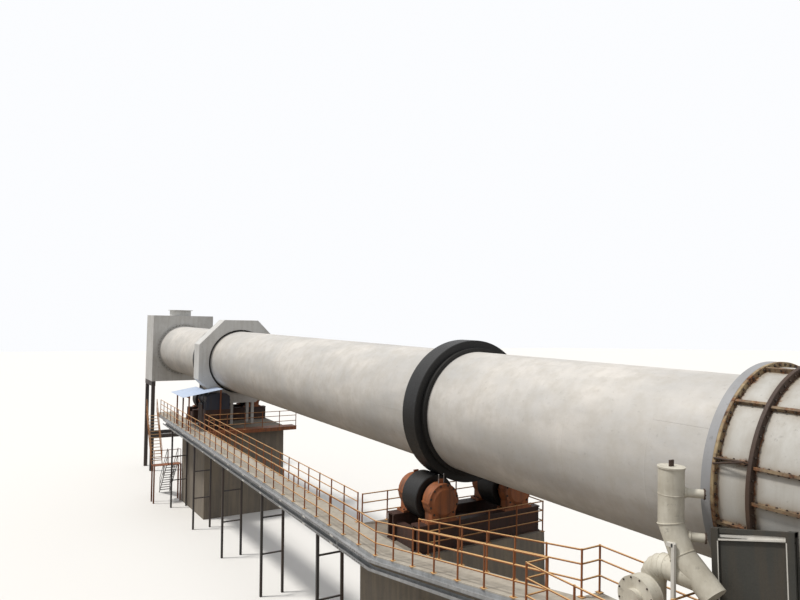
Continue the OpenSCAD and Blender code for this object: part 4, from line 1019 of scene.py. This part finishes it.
lug_low = (DUCT_U - LUG_T / 2, DUCT_Y - LUG_L / 2, cap_w)
lug_high = (DUCT_U + LUG_T / 2, DUCT_Y + LUG_L / 2, cap_w + LUG_H)
put_mesh("duct_lug", *boxes_between([(lug_low, lug_high)]), FINISH["ring_brown"],
         "structure", "grey_paint")
fan_low, fan_high = kiln_box("cooling_fan")
post_y = DUCT_Y - DUCT_R - POST_GAP - POST_B
post = ((DUCT_U + POST_U, post_y, fan_low[2]),
        (DUCT_U + POST_U + POST_B, post_y + POST_B, POST_TOP))
brace = ((DUCT_U + BRACE_U, post_y, POST_TOP - POST_B),
         (DUCT_U + POST_U + POST_B / 2, DUCT_Y - DUCT_R / 2, POST_TOP))
put_mesh("duct_leg", *boxes_between([post, brace]), FINISH["pale_edge"],
         "structure", "grey_paint")

# %% [markdown]
# ## Bearings
# Each support roller turns in two closed bearings. Their end covers are held by a ring of bolts,
# the two halves by bolts on a split flange, and the feet by anchor bolts, all of them bigger
# than the hood's. The flange and the lifting lug on top are drawn here, round the packed
# housings. The blocks and the bolts ask one helper where the bearings are, so they stay together.

# %% Where the bearings are
COVER_T, HOUSING_L = 0.030, 0.208


def bearings_of(station):
    """Each bearing's cover u and the way it faces, its middle, and its lowest and highest w."""
    low, high = kiln_box("bearings_" + station)
    for roller in ("near", "far"):
        roller_low, roller_high = kiln_box("roller_" + station + "_" + roller)
        y, w = (roller_low[1:] + roller_high[1:]) / 2
        for cover_u, out in ((low[0] + COVER_T, -1), (high[0] - COVER_T, 1)):
            middle = np.array([cover_u - out * HOUSING_L / 2, y, w])
            yield cover_u, out, middle, low[2], high[2]


# %% Bolts on covers, splits and feet
COVER_BOLTS, COVER_BOLT_SHARE = 12, 0.93
SPLIT_HALF, FOOT_T = 0.012, 0.035
BEARING_BOLT_U, BEARING_BOLT_Y, BEARING_BOLT_SIZE = 0.055, 0.264, 1.35


def bearing_bolts(station):
    """Places and normals of all bolts on a station's four bearings."""
    t = full_turn(COVER_BOLTS, 0.5)
    places, normals = [], []
    for cover_u, out, (u, y, w), foot_w, top_w in bearings_of(station):
        places.append(ring_on_cover(cover_u, y, w, COVER_BOLT_SHARE * (top_w - w), t))
        normals.append(same_way((out, 0, 0), COVER_BOLTS))
        from_above = [(u + du, y + dy, level) for du in (-BEARING_BOLT_U, BEARING_BOLT_U)
                      for dy in (-BEARING_BOLT_Y, BEARING_BOLT_Y)
                      for level in (w + SPLIT_HALF, foot_w + FOOT_T)]
        places.append(np.array(from_above))
        normals.append(same_way((0, 0, 1), len(from_above)))
    return np.concatenate(places), np.concatenate(normals)


# %% Split flanges and lifting lugs
SPLIT_B, SPLIT_INSET = 0.300, 0.008
EYE_T, EYE_L, EYE_H, EYE_SINK = 0.024, 0.090, 0.060, 0.010


def bearing_flanges(station):
    """Split flange and lifting lug of a station's four bearings: blocks round their middles."""
    blocks = []
    for _, _, middle, _, top_w in bearings_of(station):
        half = np.array([HOUSING_L / 2 - SPLIT_INSET, SPLIT_B, SPLIT_HALF])
        blocks.append((middle - half, middle + half))
        u, y, _ = middle
        blocks.append(((u - EYE_T / 2, y - EYE_L / 2, top_w - EYE_SINK),
                       (u + EYE_T / 2, y + EYE_L / 2, top_w + EYE_H)))
    return boxes_between(blocks)


for station in ("1", "2"):
    put_mesh("bearing_flanges_" + station, *bearing_flanges(station), FINISH["orange_paint"],
             "structure", "orange_paint")
    bolts_at("bearing_bolts_" + station, *bearing_bolts(station), "orange_paint",
             BEARING_BOLT_SIZE)

# %% Grease pipes on the bearings of station 1
GREASE_R, GREASE_SIDES = 0.007, 8
GREASE_INSET, GREASE_APART, GREASE_SINK = 0.12, 0.05, 0.02
GREASE_BENDS = np.array([(0.0, 0.0, 0.0), (0.0, 0.0, 0.12), (0.04, -0.03, 0.17)])

bearing_high = kiln_box("bearings_1")[1]
near_low, near_high = kiln_box("roller_1_near")
pipe_y = (near_low[1] + near_high[1]) / 2
grease = []
for shift in (-GREASE_APART, GREASE_APART):
    foot = (bearing_high[0] - GREASE_INSET, pipe_y + shift, bearing_high[2] - GREASE_SINK)
    grease.append(tube(to_world(foot + GREASE_BENDS), GREASE_R, GREASE_SIDES))
put_mesh("grease_pipes", *together(grease), FINISH["galvanised"],
         "structure", "galvanised", smooth_deg=50)

# %% [markdown]
# ## Sheet roof over the drive
# The roof is corrugated sheet. Its height over the flat solid's top is a cosine along the kiln.
# The sheet is notched round the gear guard, so it is made as two grids that meet at the notch,
# each closed into a thin plate. That is simpler than cutting a hole out of one.

# %% Corrugated canopy
WAVE_PITCH, WAVE_H, WAVE_STEPS = 0.076, 0.009, 8
SHEET_T, SHEET_COLS = 0.003, 4
EAVE_REACH = 0.001

roof_points = to_kiln(corners("canopy_roof"))
roof_low, roof_high = roof_points.min(0), roof_points.max(0)
eave_w = roof_points[roof_points[:, 1] < roof_low[1] + EAVE_REACH][:, 2].max()
notch_us = np.unique(np.round(roof_points[:, 0], 3))
notch_ys = np.unique(np.round(roof_points[:, 1], 3))


def canopy_part(u_from, u_to, y_to):
    """Corrugated plate from the eave to y_to: the roof's sloping plane plus a cosine along u."""
    rows = int((u_to - u_from) / WAVE_PITCH * WAVE_STEPS) + 1
    u, y = np.meshgrid(np.linspace(u_from, u_to, rows),
                       np.linspace(roof_low[1], y_to, SHEET_COLS), indexing="ij")
    share = (y - roof_low[1]) / (roof_high[1] - roof_low[1])
    plane = eave_w + share * (roof_high[2] - eave_w)
    w = plane + WAVE_H * (np.cos(2 * math.pi * u / WAVE_PITCH) - 1) / 2
    faces = (to_world(np.stack([u, y, w - drop], axis=-1)) for drop in (0.0, SHEET_T))
    return plate_between(*faces)


canopy_sheets = together([canopy_part(notch_us[0], notch_us[1], notch_ys[1]),
                          canopy_part(notch_us[1], notch_us[-1], notch_ys[-1])])
canopy = put_mesh("canopy_sheet", *canopy_sheets, FINISH["roof_sheet"],
                  "structure", "roof_sheet", smooth_deg=60)
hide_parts("canopy_roof")
print("notch at", notch_us, notch_ys)

# %% [markdown]
# ## Frame beside the hood
# On each side of the hood stands a frame coloured near black as painted shade: two posts, a plate
# between them, a sloping top rail and a ledge. All of them follow one sloping line from post to
# post, so each is a block whose top follows that line, while its bottom follows it too or is level.
# On the near side a pale strip of folded sheet, painted sunlight, covers the rail's lower edge.

# %% Side frames
FRAME_LINE = ((5.370, -0.325), (6.040, -0.160))
FRAME_OUT, FRAME_POST = 1.280, 0.070
CHEEK_FOOT = 2.47

# Each bar between the posts: its outer and inner y, how far it lies under the line, and its
# depth, where None stands for down to a level foot.
CHEEK_BAR = (1.257, 1.245, 0.005, None)
TOP_BAR = (1.265, 1.225, 0.003, 0.040)
LEDGE_BAR = (1.278, 1.245, 0.080, 0.012)

(post_x, _, post_z), (high_x, _, high_z) = (to_world((u, 0.0, w)) for u, w in FRAME_LINE)
high_x += FRAME_POST


def along_line(out, inn, drop, depth, x_from=post_x, x_to=high_x, foot=0.0):
    """Blocks on both sides, drop below the sloping line, depth thick or down to a level foot."""
    x = np.array([x_from, x_to])
    top = post_z + (x - post_x) / (high_x - post_x) * (high_z - post_z) - drop
    low = np.full(2, foot) if depth is None else top - depth
    return [(np.array([(x[i], y[j], (low, top)[k][i]) for i, j, k in BOX_STEPS]), BOX_FACES)
            for y in ((-out, -inn), (inn, out))]


post_bar = (FRAME_OUT, FRAME_OUT - FRAME_POST, 0.0, None)
frame_parts = along_line(*post_bar, x_to=post_x + FRAME_POST)
frame_parts += along_line(*post_bar, x_from=high_x - FRAME_POST)
frame_parts += along_line(*CHEEK_BAR, foot=CHEEK_FOOT)
frame_parts += along_line(*TOP_BAR)
frame_parts += along_line(*LEDGE_BAR)
put_mesh("hood_side_frames", *together(frame_parts), FINISH["shade_black"],
         "structure", "dark_steel")

# %% Pale strip under the rail, as painted sunlight, and pale edges on the posts
STRIP_FOLD = ((-1.2585, -0.046), (-1.2585, -0.0785), (-1.2800, -0.0785), (-1.2800, -0.0940))
STRIP_T = 0.0012
POST_EDGE_W, POST_EDGE_T, POST_EDGE_Y, POST_EDGE_DROP = 0.010, 0.003, -1.2812, 0.1


def fold(shift_y, shift_z):
    """Grid of a folded sheet along the sloping line between the two posts, moved in y and z."""
    ends = ((post_x + FRAME_POST, post_z), (high_x - FRAME_POST, high_z))
    return np.array([[(x, y + shift_y, z + dz + shift_z) for y, dz in STRIP_FOLD]
                     for x, z in ends])


# The pale strip is painted sunlight on the frame's near side.
strip_parts = [plate_between(fold(0.0, 0.0), fold(STRIP_T, -STRIP_T))]
for x, top in ((post_x + FRAME_POST - POST_EDGE_W, post_z), (high_x - FRAME_POST, high_z)):
    low = (x, POST_EDGE_Y, CHEEK_FOOT)
    high = (x + POST_EDGE_W, POST_EDGE_Y + POST_EDGE_T, top - POST_EDGE_DROP)
    strip_parts.append((box_corners(low, high), BOX_FACES))
put_mesh("hood_frame_strip", *together(strip_parts), FINISH["pale_edge"],
         "structure", "dark_steel")

# %% [markdown]
# ## Stop rings on the tyres
# The pads under each tyre end in stops that keep the tyre in place. A ring ties the stops on each
# side, so from outside one sees a dark ring between the tyre and the shell. The same turned
# profile as on the hood makes it, with its inner face just off the shell.

# %% Stop rings
STOP_GAP, STOP_RISE, STOP_SEAT, STOP_END = 0.002, 0.0015, 0.0005, 0.001

for order in ("1", "2"):
    pad_low, pad_high = kiln_box("tyre_pads_" + order)
    tyre_low, tyre_high = kiln_box("tyre_" + order)
    stop_r = radii("tyre_pads_" + order)[1] + STOP_RISE
    spans = ((pad_low[0] - STOP_END, tyre_low[0] - STOP_GAP),
             (tyre_high[0] + STOP_GAP, pad_high[0] + STOP_END))
    stops = together([turned_ring(*span, stop_r, SHELL_R + STOP_SEAT) for span in spans])
    put_mesh("stop_rings_" + order, *stops, FINISH["cast_steel"],
             "kiln", "cast_steel", smooth_deg=30)

# %% [markdown]
# ## Bracket between the hood's rings
# Two thin rods rise from the front ring and meet, and a third leads back to the second ring.
# Each is a straight tube between two places on the hood.

# %% Hood bracket
BRACKET_R, BRACKET_SIDES = 0.009, 10
BRACKET_FOOT_DEGS, BRACKET_TIP_DEG, BRACKET_BACK_DEG = (78.0, 75.5), 75.0, 75.5
BRACKET_FOOT_RISE, BRACKET_RISE, BRACKET_L = 0.004, 0.05, 0.31
BRACKET_BACK_DROP, BRACKET_BACK_SINK = 0.012, 0.005

ring_u = (flange_us[0] + flange_us[1]) / 2
feet = [round_axis(ring_u, math.radians(deg), flange_r[0] + BRACKET_FOOT_RISE)
        for deg in BRACKET_FOOT_DEGS]
tip = round_axis(ring_u + BRACKET_L, math.radians(BRACKET_TIP_DEG), flange_r[0] + BRACKET_RISE)
back = round_axis(flange_us[2] + BRACKET_BACK_SINK, math.radians(BRACKET_BACK_DEG),
                  flange_r[2] - BRACKET_BACK_DROP)
rods = [tube(to_world(ends), BRACKET_R, BRACKET_SIDES)
        for ends in ((feet[0], tip), (feet[1], tip), (tip, back))]
put_mesh("hood_bracket", *together(rods), FINISH["ring_brown"],
         "structure", "rusty_steel", smooth_deg=50)

# %% [markdown]
# ## Bolts on the other machines
# The same bolt row serves the feed seal, the hood's end plate, the reducer's split flange and the
# fan's casing. Each row takes its place from its own node, so it stays on the plate that it holds.

# %% Bolt circles on the ends of the kiln line
END_BOLTS, END_RIM = 48, 0.025

seal_u = kiln_box("feed_seal")[1][0]
end_points = to_kiln(corners("hood_end_plate"))
end_r = np.linalg.norm(end_points[:, 1:], axis=1)
rim_u = end_points[end_r > end_r.max() - SAME_PLANE][:, 0].max()
for name, u, r in (("feed_seal_bolts", seal_u, sum(radii("feed_seal")) / 2),
                   ("end_plate_bolts", rim_u, end_r.max() - END_RIM)):
    bolts_at(name, round_axis(u, full_turn(END_BOLTS, 0.5), r), same_way((1, 0, 0), END_BOLTS),
             "grey_paint")

# %% Reducer flange and fan casing
REDUCER_FLANGE_HALF, REDUCER_EDGE, REDUCER_END = 0.015, 0.010, 0.03
REDUCER_ROWS, REDUCER_BOLT_SIZE = 5, 0.8
FAN_HUB, FAN_EDGE, FAN_BOLTS, FAN_BOLT_SIZE = 0.060, 0.016, 12, 0.7

reducer_low, reducer_high = kiln_box("reducer")
pinion_low, pinion_high = kiln_box("pinion")
split_w = (pinion_low[2] + pinion_high[2]) / 2 + REDUCER_FLANGE_HALF
split_us = np.linspace(reducer_low[0] + REDUCER_END, reducer_high[0] - REDUCER_END, REDUCER_ROWS)
split_ys = (reducer_low[1] + REDUCER_EDGE, reducer_high[1] - REDUCER_EDGE)
split_places = [(u, y, split_w) for u in split_us for y in split_ys]
bolts_at("reducer_bolts", split_places, same_way((0, 0, 1), len(split_places)), "orange_paint",
         REDUCER_BOLT_SIZE)
casing_r = (fan_high[0] - fan_low[0]) / 2
t = full_turn(FAN_BOLTS, 0.5)
circle_r = casing_r - FAN_EDGE
fan_us = fan_low[0] + casing_r + circle_r * np.cos(t)
fan_ws = fan_high[2] - casing_r + circle_r * np.sin(t)
fan_places = np.column_stack([fan_us, np.full(FAN_BOLTS, fan_low[1] + FAN_HUB), fan_ws])
bolts_at("fan_bolts", fan_places, same_way((0, -1, 0), FAN_BOLTS), "grey_paint", FAN_BOLT_SIZE)

# %% [markdown]
# ## Cable trays
# The trays hang beside the walkway. Their walls are perforated strip with joint plates. Cutting
# every slot would take many faces for little to see, so a row of small dark plates, painted shade
# of the holes, stands for the slots, and paler plates for the joints, along the level part of each tray.

# %% Slots and joint plates
TRAY_DROPS = (0.040, 0.170)
SLOT, SLOT_PITCH, SLOT_START = (0.030, 0.0016, 0.009), 0.075, 0.10
JOINT, JOINT_PITCH, JOINT_START = (0.110, 0.0030, 0.034), 1.2, 0.60
WALL_SINK = 0.4
LEVEL_WITHIN = 0.02

tray_low = kiln_box("cable_trays")[0]
deck_w = kiln_box("platform_rails")[0][2]
floor_points = to_kiln(corners("walkway_floor"))
is_level = np.abs(floor_points[:, 2] - floor_points[:, 2].min()) < LEVEL_WITHIN
level_end = floor_points[is_level][:, 0].max()


def wall_blocks(size, pitch, start):
    """Small blocks on the outer wall of both trays, spaced by the pitch along the level part."""
    us = np.arange(tray_low[0] + start, level_end - start, pitch)
    y = tray_low[1] - WALL_SINK * size[1]
    return blocks_at(size, [(u, y, deck_w - drop) for drop in TRAY_DROPS for u in us])


# Dark plates: painted shade where the slots would show the dark inside of the trays.
put_mesh("tray_slots", *wall_blocks(SLOT, SLOT_PITCH, SLOT_START), FINISH["bolt_brown"],
         "structure", "galvanised")
put_mesh("tray_joints", *wall_blocks(JOINT, JOINT_PITCH, JOINT_START), FINISH["pale_edge"],
         "structure", "galvanised")
print("level trays end at", round(float(level_end), 3))

# %% [markdown]
# ## Base plates of the handrails
# The foot of each post is welded to a small plate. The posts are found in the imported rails, so
# a plate can't miss its post: where points stand over each other for more than 0.2 m, there is
# a post, and its lowest point is its foot.

# %% Base plates under the posts
PLATE = (0.070, 0.070, 0.006)
PLATE_RISE = 0.55 * PLATE[2]
POST_REACH, POST_LEAST_H = 0.05, 0.2


def post_feet(node):
    """One place for each post: the lowest points of the rails, grouped where they lie close."""
    points = to_kiln(corners(node))
    left = points[np.argsort(points[:, 2])]
    feet = []
    while len(left):
        lowest = left[0]
        close = np.hypot(*(left - lowest)[:, :2].T) < POST_REACH
        if np.ptp(left[close][:, 2]) > POST_LEAST_H:
            feet.append((*left[close][:, :2].mean(0), lowest[2]))
        left = left[~close]
    return np.array(feet)


for rails in ("handrail_outer", "handrail_inner", "platform_rails"):
    plates = blocks_at(PLATE, post_feet(rails) + [0, 0, PLATE_RISE])
    put_mesh(rails + "_plates", *plates, FINISH["rail_paint"], "structure", "rail_paint")
